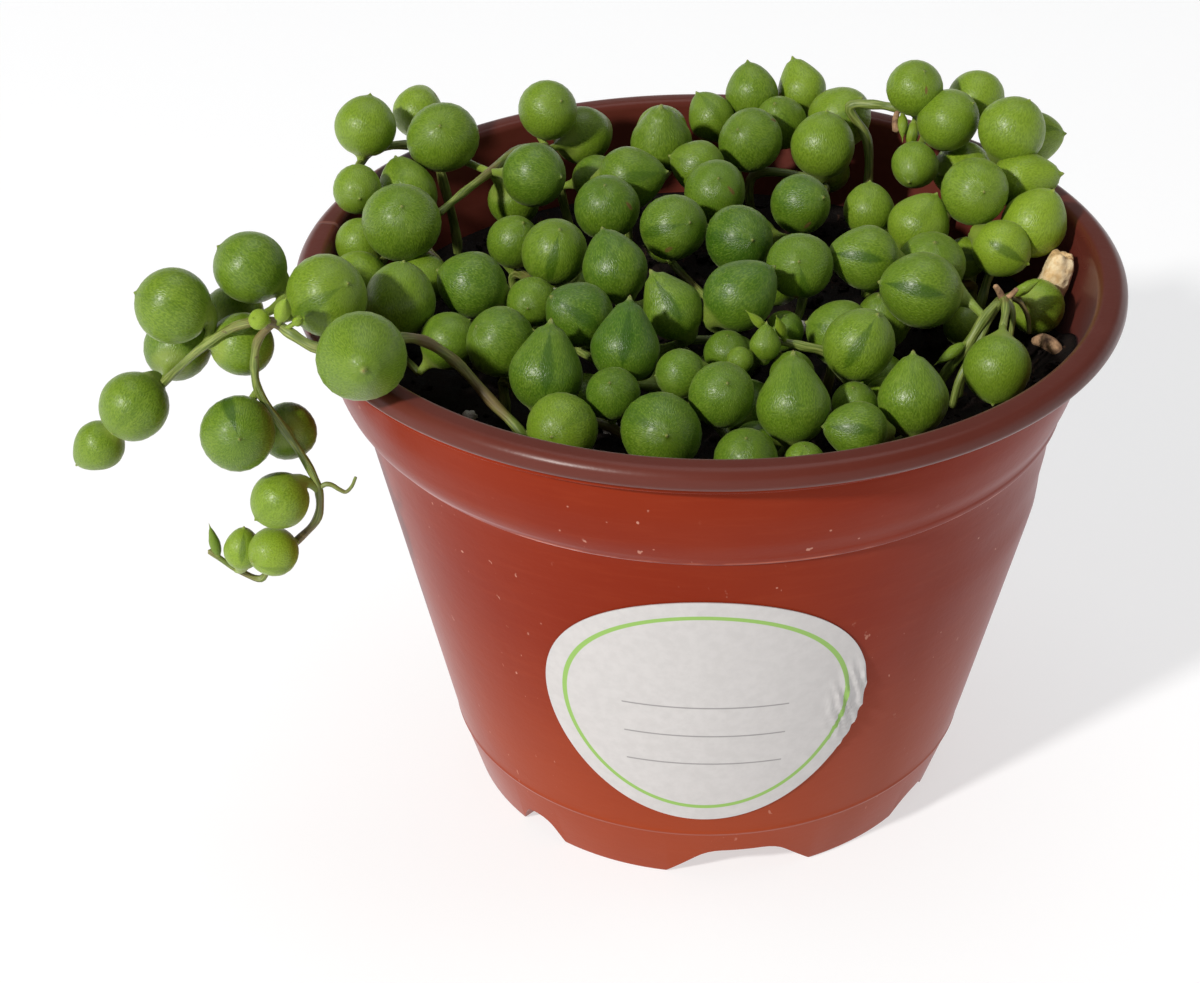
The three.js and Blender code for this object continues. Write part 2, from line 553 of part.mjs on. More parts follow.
function makeSoil(strands) {
  const side = innerRadius(SOIL_TOP) - CLEAR;
  const outline = [[0, FLOOR_TOP + CLEAR], [innerFloorRadius - CLEAR, FLOOR_TOP + CLEAR],
    ...BENDS.map((z) => [insideRadius(z) - CLEAR, z]), [INNER_WALL_TOP[0] - CLEAR, INNER_WALL_TOP[1]]];
  for (let ring = SOIL_RINGS; ring >= 0; ring -= 1) outline.push([side * ring / SOIL_RINGS, SOIL_TOP]);
  const geometry = giveWay(turned(outline, SOIL_SIDES));
  const { position } = geometry.attributes;
  for (let i = 0; i < position.count; i += 1) {
    const [x, y, z] = [position.getX(i), position.getY(i), position.getZ(i)];
    if (z > SOIL_TOP - 0.01 && Math.hypot(x, y) < side - 0.01) position.setZ(i, soilHeight(x, y));
  }
  let soil = solid(geometry);
  for (const { nodes: [root] } of strands) {
    const hole = new THREE.CylinderGeometry(STEM + CLEAR, STEM + CLEAR, HOLE_HEIGHT, HOLE_SIDES);
    hole.rotateX(Math.PI / 2).translate(root[0], root[1], root[2] - CLEAR + HOLE_HEIGHT / 2);
    soil = soil.subtract(solid(hole));
  }
  return geometryOf(soil);
}

// ---------- Label and stone ----------

/** A round paper label, laid on the pot's straight wall. */
function makeLabel() {
  const rings = [1, 2 / 3, 1 / 3].map((share) => share * LABEL_RADIUS);
  const outline = [[0, LABEL_AIR], ...rings.map((r) => [r, LABEL_AIR]).reverse(),
    ...rings.map((r) => [r, LABEL_AIR + PAPER]), [0, LABEL_AIR + PAPER]];
  const geometry = turned(outline, LABEL_SIDES);
  const { position } = geometry.attributes;
  const lean = Math.atan(wallLean);
  for (let i = 0; i < position.count; i += 1) {
    const [across, up, off] = [position.getX(i), position.getY(i), position.getZ(i)];
    const z = LABEL_HEIGHT + up * Math.cos(lean);
    const angle = THREE.MathUtils.degToRad(LABEL_TURN) + across / wallRadius(LABEL_HEIGHT);
    const radius = wallRadius(z) + off / Math.cos(lean);
    position.setXYZ(i, radius * Math.sin(angle), -radius * Math.cos(angle), z);
  }
  return giveWay(geometry);
}

/** A rough pebble leaning on the inner wall. */
function makeStone() {
  const draw = seeded(STONE.seed);
  const geometry = new THREE.IcosahedronGeometry(1, 1);
  geometry.deleteAttribute('uv');
  geometry.deleteAttribute('normal');
  const stone = mergeVertices(geometry, 1e-4);
  const { position } = stone.attributes;
  for (let i = 0; i < position.count; i += 1) {
    const dent = draw(...STONE.dents);
    position.setXYZ(i, position.getX(i) * dent, position.getY(i) * dent, position.getZ(i) * dent);
  }
  return stone.scale(...STONE.half).rotateY(STONE.lean).translate(...STONE.centre);
}

// ---------- Strands as solids ----------

/** A curve whose even steps fall on its own points. */
class StemCurve extends THREE.CatmullRomCurve3 {
  getPointAt(u) { return this.getPoint(u); }

  getTangentAt(u) { return this.getTangent(u); }
}

/** A stem along its points: a tube with a few flat sides. */
function stemSolid(points, sides) {
  const curve = new StemCurve(points.map((p) => new THREE.Vector3(...p)), false, 'centripetal');
  const ring = [];
  for (let k = 0; k < sides; k += 1) {
    const angle = 2 * Math.PI * k / sides;
    ring.push(new THREE.Vector2(STEM * Math.cos(angle), STEM * Math.sin(angle)));
  }
  const options = { steps: points.length - 1, extrudePath: curve };
  return solid(new THREE.ExtrudeGeometry(new THREE.Shape(ring), options));
}

/** A pearl on its stalk, which starts inside the stem: a long stalk is bare, a short one widens. */
function pearlSolid(node, { at, r }) {
  const reach = distance(node, at);
  const bareStalk = reach - r > FUNNEL_MAX;
  const outline = [[0, -NECK], ...(bareStalk ? [[NECK, -NECK], [NECK, reach - r]] : []),
    ...PEARL_OUTLINE.map(([radius, height]) => [radius * r, reach + height * r])];
  const points = outline.map(([radius, height]) => new THREE.Vector2(radius, height));
  const geometry = new THREE.LatheGeometry(points, PEARL_SIDES);
  const away = new THREE.Vector3(at[0] - node[0], at[1] - node[1], at[2] - node[2]).normalize();
  geometry.applyQuaternion(new THREE.Quaternion().setFromUnitVectors(new THREE.Vector3(0, 1, 0), away));
  return solid(geometry.translate(...node));
}

function makeStrand(strand) {
  const routes = strand.routes ?? [strand.nodes];
  const pieces = routes.map((route) => stemSolid(route, strand.loose ? 4 : 5));
  for (const pearl of strand.pearls) pieces.push(pearlSolid(strand.nodes[pearl.node], pearl));
  return geometryOf(pieces.reduce((whole, piece) => whole.add(piece)));
}

// ---------- Assembly ----------

const terracotta = new THREE.MeshStandardMaterial({ color: 0xa4502f, roughness: 0.45, metalness: 0 });
const peat = new THREE.MeshStandardMaterial({ color: 0x2b1f17, roughness: 1, metalness: 0 });
const paper = new THREE.MeshStandardMaterial({ color: 0xe6e4e0, roughness: 0.7, metalness: 0 });
const sandstone = new THREE.MeshStandardMaterial({ color: 0xc9a877, roughness: 0.9, metalness: 0 });
const leaf = new THREE.MeshStandardMaterial({ color: 0x5b8a30, roughness: 0.4, metalness: 0 });

const strands = planStrands();
settle(strands);

const group = new THREE.Group();
group.add(named('pot', makePot(), terracotta));
group.add(named('soil', makeSoil(strands), peat));
group.add(named('label', makeLabel(), paper));
group.add(named('stone', makeStone(), sandstone));
for (const strand of strands) group.add(named(strand.name, makeStrand(strand), leaf));

export default group;
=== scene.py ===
"""A potted string of pearls: a trailing succulent in a two-tone plastic pot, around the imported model."""
import math

import bmesh
import bpy
from mathutils import Euler, Matrix, Vector, noise


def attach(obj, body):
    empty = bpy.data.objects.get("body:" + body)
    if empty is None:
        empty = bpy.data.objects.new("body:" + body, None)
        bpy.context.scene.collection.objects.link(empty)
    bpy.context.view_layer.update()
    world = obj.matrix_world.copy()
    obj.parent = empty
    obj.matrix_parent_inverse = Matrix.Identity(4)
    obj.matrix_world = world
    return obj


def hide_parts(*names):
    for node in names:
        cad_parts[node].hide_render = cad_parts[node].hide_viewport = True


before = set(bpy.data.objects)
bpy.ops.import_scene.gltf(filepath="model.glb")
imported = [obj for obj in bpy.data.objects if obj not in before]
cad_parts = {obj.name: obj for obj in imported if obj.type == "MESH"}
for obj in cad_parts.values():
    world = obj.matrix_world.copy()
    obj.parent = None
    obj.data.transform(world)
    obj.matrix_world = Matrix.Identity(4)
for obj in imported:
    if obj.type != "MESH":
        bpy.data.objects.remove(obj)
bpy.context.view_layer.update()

MM = 0.001  # sizes are written in millimetres, and meshes are made in metres

# ---------- Camera and light ----------

CAMERA_AT = (0, -292.48, 225.43)
CAMERA_TURN = (57.721, 0.378, 2.600)  # degrees about X, Y and Z
CAMERA_LENS, SENSOR = 75, 36
CAMERA_CLIP = 10  # nothing nearer than this is seen
PHOTO_SIZE = (1200, 983)
FOCAL_PIXELS = PHOTO_SIZE[0] * CAMERA_LENS / SENSOR
LIT_POINT = Vector((0, 0, 45))
LIGHTS = [  # name, direction from the pot, distance, width, watts, colour
    ("key", (-0.52, -0.62, 0.6), 1500, 110, 22, (1, 0.975, 0.93)),
    ("fill", (0.85, 0.1, 0.5), 1600, 1200, 0.7, (0.95, 0.975, 1)),
    ("top", (0.05, 0.25, 1), 1700, 1400, 8, (0.98, 0.99, 1)),
]
WORLD_STRENGTH = 0.16


def make_stage():
    scene = bpy.context.scene
    camera = bpy.data.objects.new("camera", bpy.data.cameras.new("camera"))
    camera.data.sensor_width, camera.data.lens = SENSOR, CAMERA_LENS
    camera.data.clip_start = CAMERA_CLIP * MM
    camera.location = Vector(CAMERA_AT) * MM
    camera.rotation_euler = Euler([math.radians(a) for a in CAMERA_TURN], "XYZ")
    scene.collection.objects.link(camera)
    scene.camera = camera
    for name, direction, distance, width, watts, colour in LIGHTS:
        data = bpy.data.lights.new(name, "AREA")
        data.shape, data.size, data.energy, data.color = "DISK", width * MM, watts, colour
        light = bpy.data.objects.new(name, data)
        place = Vector(direction).normalized() * distance
        light.location = place * MM
        light.rotation_euler = (LIT_POINT - place).to_track_quat("-Z", "Y").to_euler()
        scene.collection.objects.link(light)
    world = bpy.data.worlds.new("studio")
    world.use_nodes = True
    background = world.node_tree.nodes["Background"].inputs
    background["Color"].default_value = (1, 1, 1, 1)
    background["Strength"].default_value = WORLD_STRENGTH
    scene.world = world
    scene.view_settings.view_transform = "Standard"


# ---------- Nodes ----------

def arithmetic(operation, swapped=False):
    """A method of Field that adds a Math node."""
    def method(self, *others):
        values = (*others, self) if swapped else (self, *others)
        return Field(self.tree, "Math", values, operation=operation)
    return method


class Field:
    """What a new shader node puts out, as a value that takes arithmetic. Its inputs are a dict or a list."""

    def __init__(self, tree, kind, inputs=(), out=0, **settings):
        node = tree.nodes.new("ShaderNode" + kind)
        for key, value in settings.items():
            setattr(node, key, value)
        for key, value in inputs.items() if isinstance(inputs, dict) else enumerate(inputs):
            put(node.inputs[key], value)
        self.tree, self.socket = tree, node.outputs[out]

    __add__, __radd__ = arithmetic("ADD"), arithmetic("ADD", True)
    __sub__, __rsub__ = arithmetic("SUBTRACT"), arithmetic("SUBTRACT", True)
    __mul__, __truediv__ = arithmetic("MULTIPLY"), arithmetic("DIVIDE")
    __pow__, __abs__ = arithmetic("POWER"), arithmetic("ABSOLUTE")
    root, fraction = arithmetic("SQRT"), arithmetic("FRACT")
    larger, arctan2 = arithmetic("MAXIMUM"), arithmetic("ARCTAN2")


def put(socket, value):
    """Links a socket to a field, or sets it."""
    if isinstance(value, Field):
        value.tree.links.new(value.socket, socket)
    else:
        socket.default_value = value


def ramp(value, low, high, to_low=0.0, to_high=1.0):
    """A smooth step of a field: to_low up to low, and to_high from high on."""
    return Field(value.tree, "MapRange", [value, low, high, to_low, to_high], interpolation_type="SMOOTHSTEP")


def rgb(red, green, blue):
    """A colour written as it looks on a screen, 0 to 255, for the shader."""
    def linear(c):
        c /= 255
        return c / 12.92 if c <= 0.04045 else ((c + 0.055) / 1.055) ** 2.4
    return (linear(red), linear(green), linear(blue), 1)


class Finish:
    """A material in the making: its shader's fixed sockets, and a base colour that others are laid over."""

    def __init__(self, name, base, fixed=()):
        self.material = bpy.data.materials.new(name)
        self.material.use_nodes = True
        self.tree = self.material.node_tree
        self.sockets = self.tree.nodes["Principled BSDF"].inputs
        for key, value in dict(fixed).items():
            self.sockets[key].default_value = value
        self.base = base
        self.where = self.add("TexCoord", out=3)

    def add(self, kind, inputs=(), out=0, **settings):
        return Field(self.tree, kind, inputs, out, **settings)

    def split(self, vector, count):
        return [self.add("SeparateXYZ", [vector], k) for k in range(count)]

    def noise(self, scale, detail=2.0, roughness=0.5, at=None):
        return self.add("TexNoise", {"Vector": at or self.where, "Scale": scale, "Detail": detail,
                                     "Roughness": roughness})

    def cells(self, scale):
        """The distance to the nearest of many scattered points."""
        return self.add("TexVoronoi", {"Vector": self.where, "Scale": scale})

    def lay(self, *layers):
        """Lays colours over the base, each by its share."""
        for share, colour in layers:
            self.base = self.add("Mix", {0: share, 6: self.base, 7: colour}, 2, data_type="RGBA")

    def done(self, roughness, relief=None, depth=0.0, strength=1.0):
        """Links the shader, with a relief of so many millimetres, and gives the material."""
        put(self.sockets["Base Color"], self.base)
        put(self.sockets["Roughness"], roughness)
        if relief:
            put(self.sockets["Normal"], self.add("Bump", {
                "Strength": strength, "Distance": depth * MM, "Height": relief}))
        return self.material


# ---------- Materials ----------

def pearl_material():
    """Waxy green skin: fine lines from stalk to tip, a darker window, a pale tip and foot, small scars."""
    skin = Finish("pearl_skin", rgb(46, 84, 14), {
        "Specular IOR Level": 0.32, "Subsurface Weight": 0.12, "Subsurface Radius": (0.6, 1.0, 0.15),
        "Subsurface Scale": 1.2 * MM, "Coat Weight": 0.05, "Coat Roughness": 0.2,
        "Sheen Weight": 0.12, "Sheen Roughness": 0.3, "Sheen Tint": rgb(226, 236, 180)})
    u, v = skin.split(skin.add("UVMap", uv_map="leaf"), 2)
    tint, seed, dark = (skin.add("Attribute", out=2, attribute_name=name) for name in LOOK_NAMES)
    lines = skin.noise(1, 1, at=skin.add("CombineXYZ", [u * 140, v * 42, seed * 40]))
    mottle = skin.noise(420, 4, 0.62)
    cloud = skin.noise(130, 1)
    # The window is a lens-shaped stripe from the tip down one side
    width = (1 - abs((v - 0.7) / 0.26) ** 2) * 0.042
    off = abs(u - 0.5 + (cloud - 0.5) * 0.03)
    # A few pearls have a scar, each at its own place
    from_u = (u - (0.3 + (seed * 77).fraction() * 0.4)) * 3.0
    from_v = v - (0.55 + (seed * 31).fraction() * 0.25)
    ragged = (from_u * from_u + from_v * from_v).root() + (mottle - 0.5) * 0.08
    scar = ramp(ragged, 0.03, 0.05, 1, 0) * ramp(seed, 0.84, 0.86)
    skin.lay(
        (tint, rgb(138, 164, 42)),
        (ramp(cloud, 0.35, 0.7, 0, 0.3), rgb(100, 124, 22)),
        (ramp(lines, 0.38, 0.5, 0.24, 0), rgb(26, 60, 8)),
        (ramp(lines, 0.5, 0.62, 0, 0.12), rgb(150, 172, 70)),
        (ramp(mottle, 0.5, 0.8, 0, 0.25), rgb(132, 156, 58)),
        (ramp(skin.cells(1500), 0.05, 0.13, 0.3, 0), rgb(176, 190, 116)),  # tiny light pores
        (ramp(width - off, -0.004, 0.022) * (dark * 0.72), rgb(38, 72, 4)),  # the window
        (ramp(v, 0.24, 0.34, 0.6, 0), rgb(136, 154, 64)),  # the foot, by the stalk
        (ramp(v, 0.94, 0.985, 0, 0.4), rgb(164, 164, 100)),  # the tip
        (ramp(v, 0.985, 0.998, 0, 0.7), rgb(128, 98, 56)),  # its brown point
        (scar * 0.8, rgb(112, 78, 44)))
    return skin.done(ramp(mottle, 0.35, 0.7, 0.34, 0.46) + scar * 0.3, lines * 0.9 + mottle * 0.6, 0.11, 0.7)


def stem_material():
    """Pale green stem with brown-purple stretches, nicks and faint ribs."""
    skin = Finish("stem_skin", rgb(88, 106, 38), {
        "Subsurface Weight": 0.15, "Subsurface Radius": (0.7, 1.0, 0.4), "Subsurface Scale": 0.8 * MM})
    u, v = skin.split(skin.add("UVMap", uv_map="leaf"), 2)
    ribs = skin.noise(1, 2, at=skin.add("CombineXYZ", [u * 16, v * 3, 0]))
    skin.lay(
        (ramp(ribs, 0.35, 0.7), rgb(138, 150, 76)),
        (ramp(skin.noise(95, 3, 0.6), 0.47, 0.66, 0, 0.75), rgb(106, 78, 52)),
        (ramp(skin.noise(900, 2), 0.68, 0.74, 0, 0.7), rgb(78, 50, 34)))
    return skin.done(ramp(ribs, 0.3, 0.7, 0.36, 0.55), ribs, 0.15, 0.6)


def dry_material():
    """Dried leaf and stem ends, and bark."""
    dry = Finish("dried_ends", rgb(86, 60, 42))
    grain = dry.noise(700, 4, 0.65)
    dry.lay((ramp(grain, 0.3, 0.7), rgb(176, 140, 104)))
    return dry.done(0.8, grain, 0.2)


def plastic_material(name, colour, pale, chip, roughness, lustre, bloom):
    """Moulded plastic: cloudy, scratched and specked, with a painted highlight along the step, paler towards
    the foot where the floor's reflection is painted in, and with a pale bloom seen aslant.
    """
    skin = Finish(name, colour, {
        "Specular IOR Level": lustre, "Sheen Weight": bloom, "Sheen Roughness": 0.27,
        "Sheen Tint": rgb(236, 224, 232)})
    x, y, z = skin.split(skin.where, 3)
    turn = y.arctan2(x)
    cloud = skin.noise(22, 3, 0.55)
    drawn = skin.noise(1, 4, 0.7, at=skin.add("CombineXYZ", [turn * 5, z * 900, 0]))
    slanted = skin.noise(1, 2, at=skin.add("CombineXYZ", [turn * 34, (z + turn * 0.012) * 500, 3]))
    gate = skin.noise(60, 1)
    scratch = ramp(slanted, 0.695, 0.735) * ramp(gate, 0.5, 0.62)
    speck = ramp(skin.cells(260), 0.025, 0.055, 1, 0) * ramp(gate, 0.5, 0.56)
    # The step mask is where a highlight along the step's edge is painted into the colour
    step = ramp(abs(z - STEP_HEIGHT * MM), 0.1 * MM, 0.2 * MM, 1, 0)
    skin.lay(
        (ramp(cloud, 0.3, 0.72, 0, 0.14), pale),
        (ramp(drawn, 0.45, 0.8, 0, 0.1), pale),
        (scratch.larger(speck) * 0.5, chip),
        (step * ramp(skin.noise(160, 3), 0.4, 0.62, 0, 0.7), rgb(186, 104, 78)),  # a painted highlight along the step's edge
        (ramp(z, 2 * MM, 50 * MM, 0.5, 0) * ramp(cloud, 0.25, 0.6, 0.7, 1), pale))  # paler towards the foot: a painted reflection of the pale floor, broken up by the cloudy tone
    relief = skin.noise(1400, 3, 0.6) * 0.35 + drawn * 0.4 + skin.noise(260, 2) * 0.9 - scratch * 0.5
    dullness = ramp(cloud, 0.3, 0.7, roughness - 0.03, roughness + 0.05) + scratch * 0.15
    return skin.done(dullness, relief, 0.07, 0.5)


def soil_material():
    """Damp peat: near black, with brown fibres."""
    peat = Finish("peat", rgb(9, 5, 4), {"Specular IOR Level": 0.15})
    lumps = peat.noise(330, 6, 0.7)
    fibres = peat.noise(1, 3, 0.6, at=peat.add("Mapping", {"Vector": peat.where, "Scale": (900, 160, 500)}))
    peat.lay((ramp(lumps, 0.35, 0.72), rgb(26, 16, 12)), (ramp(fibres, 0.62, 0.75, 0, 0.7), rgb(70, 46, 32)))
    return peat.done(ramp(lumps, 0.35, 0.7, 0.65, 0.98), lumps + fibres * 0.4, 0.6)


def grit_material(name, light, dark, scale):
    """Stone or perlite: pale, pitted and stained."""
    grit = Finish(name, light)
    stain, pits = grit.noise(scale, 5, 0.65), grit.cells(scale * 6)
    grit.lay((ramp(stain, 0.42, 0.64), dark), (ramp(pits, 0.05, 0.3, 0.45, 0), rgb(92, 68, 46)))
    return grit.done(ramp(stain, 0.3, 0.7, 0.7, 0.92), stain + pits * 0.4, 0.35)


def label_material():
    """Coated white paper with a plain printed ring and three ruled lines to write on."""
    paper = Finish("label_paper", rgb(184, 181, 180))
    across, up = paper.split(paper.add("UVMap", uv_map="label_mm"), 2)
    fibre = paper.noise(700, 4, 0.6)
    ring = ramp(abs((across * across + up * up).root() - RING_RADIUS), 0.28, 0.36, 1, 0)
    paper.lay(
        (ramp(fibre, 0.3, 0.7), rgb(191, 188, 187)),
        (ramp(paper.noise(60, 2), 0.35, 0.7, 0, 0.12), rgb(176, 173, 172)),
        (ring * 0.92, rgb(126, 170, 62)))
    for height in RULE_HEIGHTS:
        line = ramp(abs(up - height), 0.1, 0.16, 1, 0) * ramp(abs(across), RULE_HALF, RULE_HALF + 0.1, 1, 0)
        paper.lay((line * 0.75, rgb(120, 118, 118)))
    return paper.done(ramp(fibre, 0.3, 0.7, 0.46, 0.5), fibre, 0.02, 0.4)


def floor_material():
    """Pale studio floor, very slightly uneven in tone."""
    floor = Finish("studio_floor", rgb(170, 171, 173), {
        "Specular IOR Level": 0.1, "Emission Color": (1, 1, 1, 1), "Emission Strength": FLOOR_GLOW})
    floor.lay((floor.noise(3, 2), rgb(174, 175, 177)))
    return floor.done(0.75)


# ---------- Meshes ----------

LOOK_NAMES = ("tint", "seed", "window")  # what each point tells its material
PLAIN = (0.0, 0.0, 0.0)


class Sheet:
    """Points in millimetres, faces, and what each face corner, face and point carries."""

    def __init__(self):
        self.points, self.faces, self.corners, self.slots, self.looks = [], [], [], [], []

    def add(self, places, look=PLAIN):
        """Adds points, and gives their numbers."""
        first = len(self.points)
        self.points += [tuple(place) for place in places]
        self.looks += [look] * len(places)
        return range(first, len(self.points))

    def face(self, points, corners=None, slot=0):
        self.faces.append(points)
        self.corners += corners or [(0, 0)] * len(points)
        self.slots.append(slot)

    def tube(self, rings, look=PLAIN, slot=0):
        """Skins rings of points, (v, points) pairs. A pole is a ring of one point. v None: no layout."""
        made = [(v, self.add(ring, look)) for v, ring in rings]
        for (v0, low), (v1, high) in zip(made, made[1:]):
            count = max(len(low), len(high))
            for k in range(count):
                n = (k + 1) % count
                ends = []
                for ring, v, sides in ((low, v0, ((k, k), (n, k + 1))), (high, v1, ((n, k + 1), (k, k)))):
                    ends += [(ring[0], k + 0.5, v)] if len(ring) == 1 else [(ring[m], u, v) for m, u in sides]
                corners = None if v0 is None else [(u / count, v) for _, u, v in ends]
                self.face([point for point, _, _ in ends], corners, slot)

    def piece(self, name, materials, uv_name="leaf", smooth=True):
        mesh = bpy.data.meshes.new(name)
        mesh.from_pydata([[c * MM for c in p] for p in self.points], [], self.faces)
        layout = mesh.uv_layers.new(name=uv_name)
        layout.data.foreach_set("uv", [c for corner in self.corners for c in corner])
        for key, values in zip(LOOK_NAMES, zip(*self.looks)):
            mesh.attributes.new(key, "FLOAT", "POINT").data.foreach_set("value", values)
        mesh.polygons.foreach_set("material_index", self.slots)
        mesh.polygons.foreach_set("use_smooth", [smooth] * len(self.faces))
        for material in materials:
            mesh.materials.append(material)
        made = bmesh.new()
        made.from_mesh(mesh)
        bmesh.ops.recalc_face_normals(made, faces=made.faces)
        made.to_mesh(mesh)
        made.free()
        obj = bpy.data.objects.new(name, mesh)
        bpy.context.scene.collection.objects.link(obj)
        return obj


def settled_in(obj, slot, *nodes):
    """A finished piece: it rides on the root and stands for its nodes, which are hidden. slot: not used."""
    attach(obj, "root")
    if nodes:
        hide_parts(*nodes)


def circle(count):
    """The angles of so many points around a ring."""
    return [2 * math.pi * k / count for k in range(count)]


def seeded(state):
    """The part's own random draws: draw(low, high)."""
    def draw(low, high):
        nonlocal state
        state = (state * 1664525 + 1013904223) % 4294967296
        return low + (high - low) * state / 4294967296
    return draw


def eased(t):
    """A smooth step from 0 to 1."""
    t = max(0.0, min(1.0, t))
    return t * t * (3 - 2 * t)


# ---------- Where the strands lie: the same plan and settling as the part's solids ----------

RIM_OUTER, RIM_INNER, RIM_TOP = 54.0, 50.1, 77.2
WALL_LEAN = 0.22  # of the inner wall over the soil
SOIL_TOP = 64.0
ROOT_DEPTH, ROOT_RISE = 3.0, 1.2  # a stem's first points, under and over the soil's top
ROOTS_WITHIN = 44.0
STEM, NECK = 0.85, 0.5  # radii of stems and stalks
STALK, STALK_MIN, STALK_MAX = 1.5, 0.7, 2.6
PEARL_GAP, WALL_AIR = 0.45, 0.4
SETTLE_STEPS, LAST_STEPS = 170, 60
PULL = 0.04  # of each place back to where it was planned, in all but the last steps
STEM_GIVE, NODE_SHARE = 0.6, 0.4
LOOK_EVERY = 20  # steps between two searches for what is near
NEAR, NEAR_RODS = 4, 18

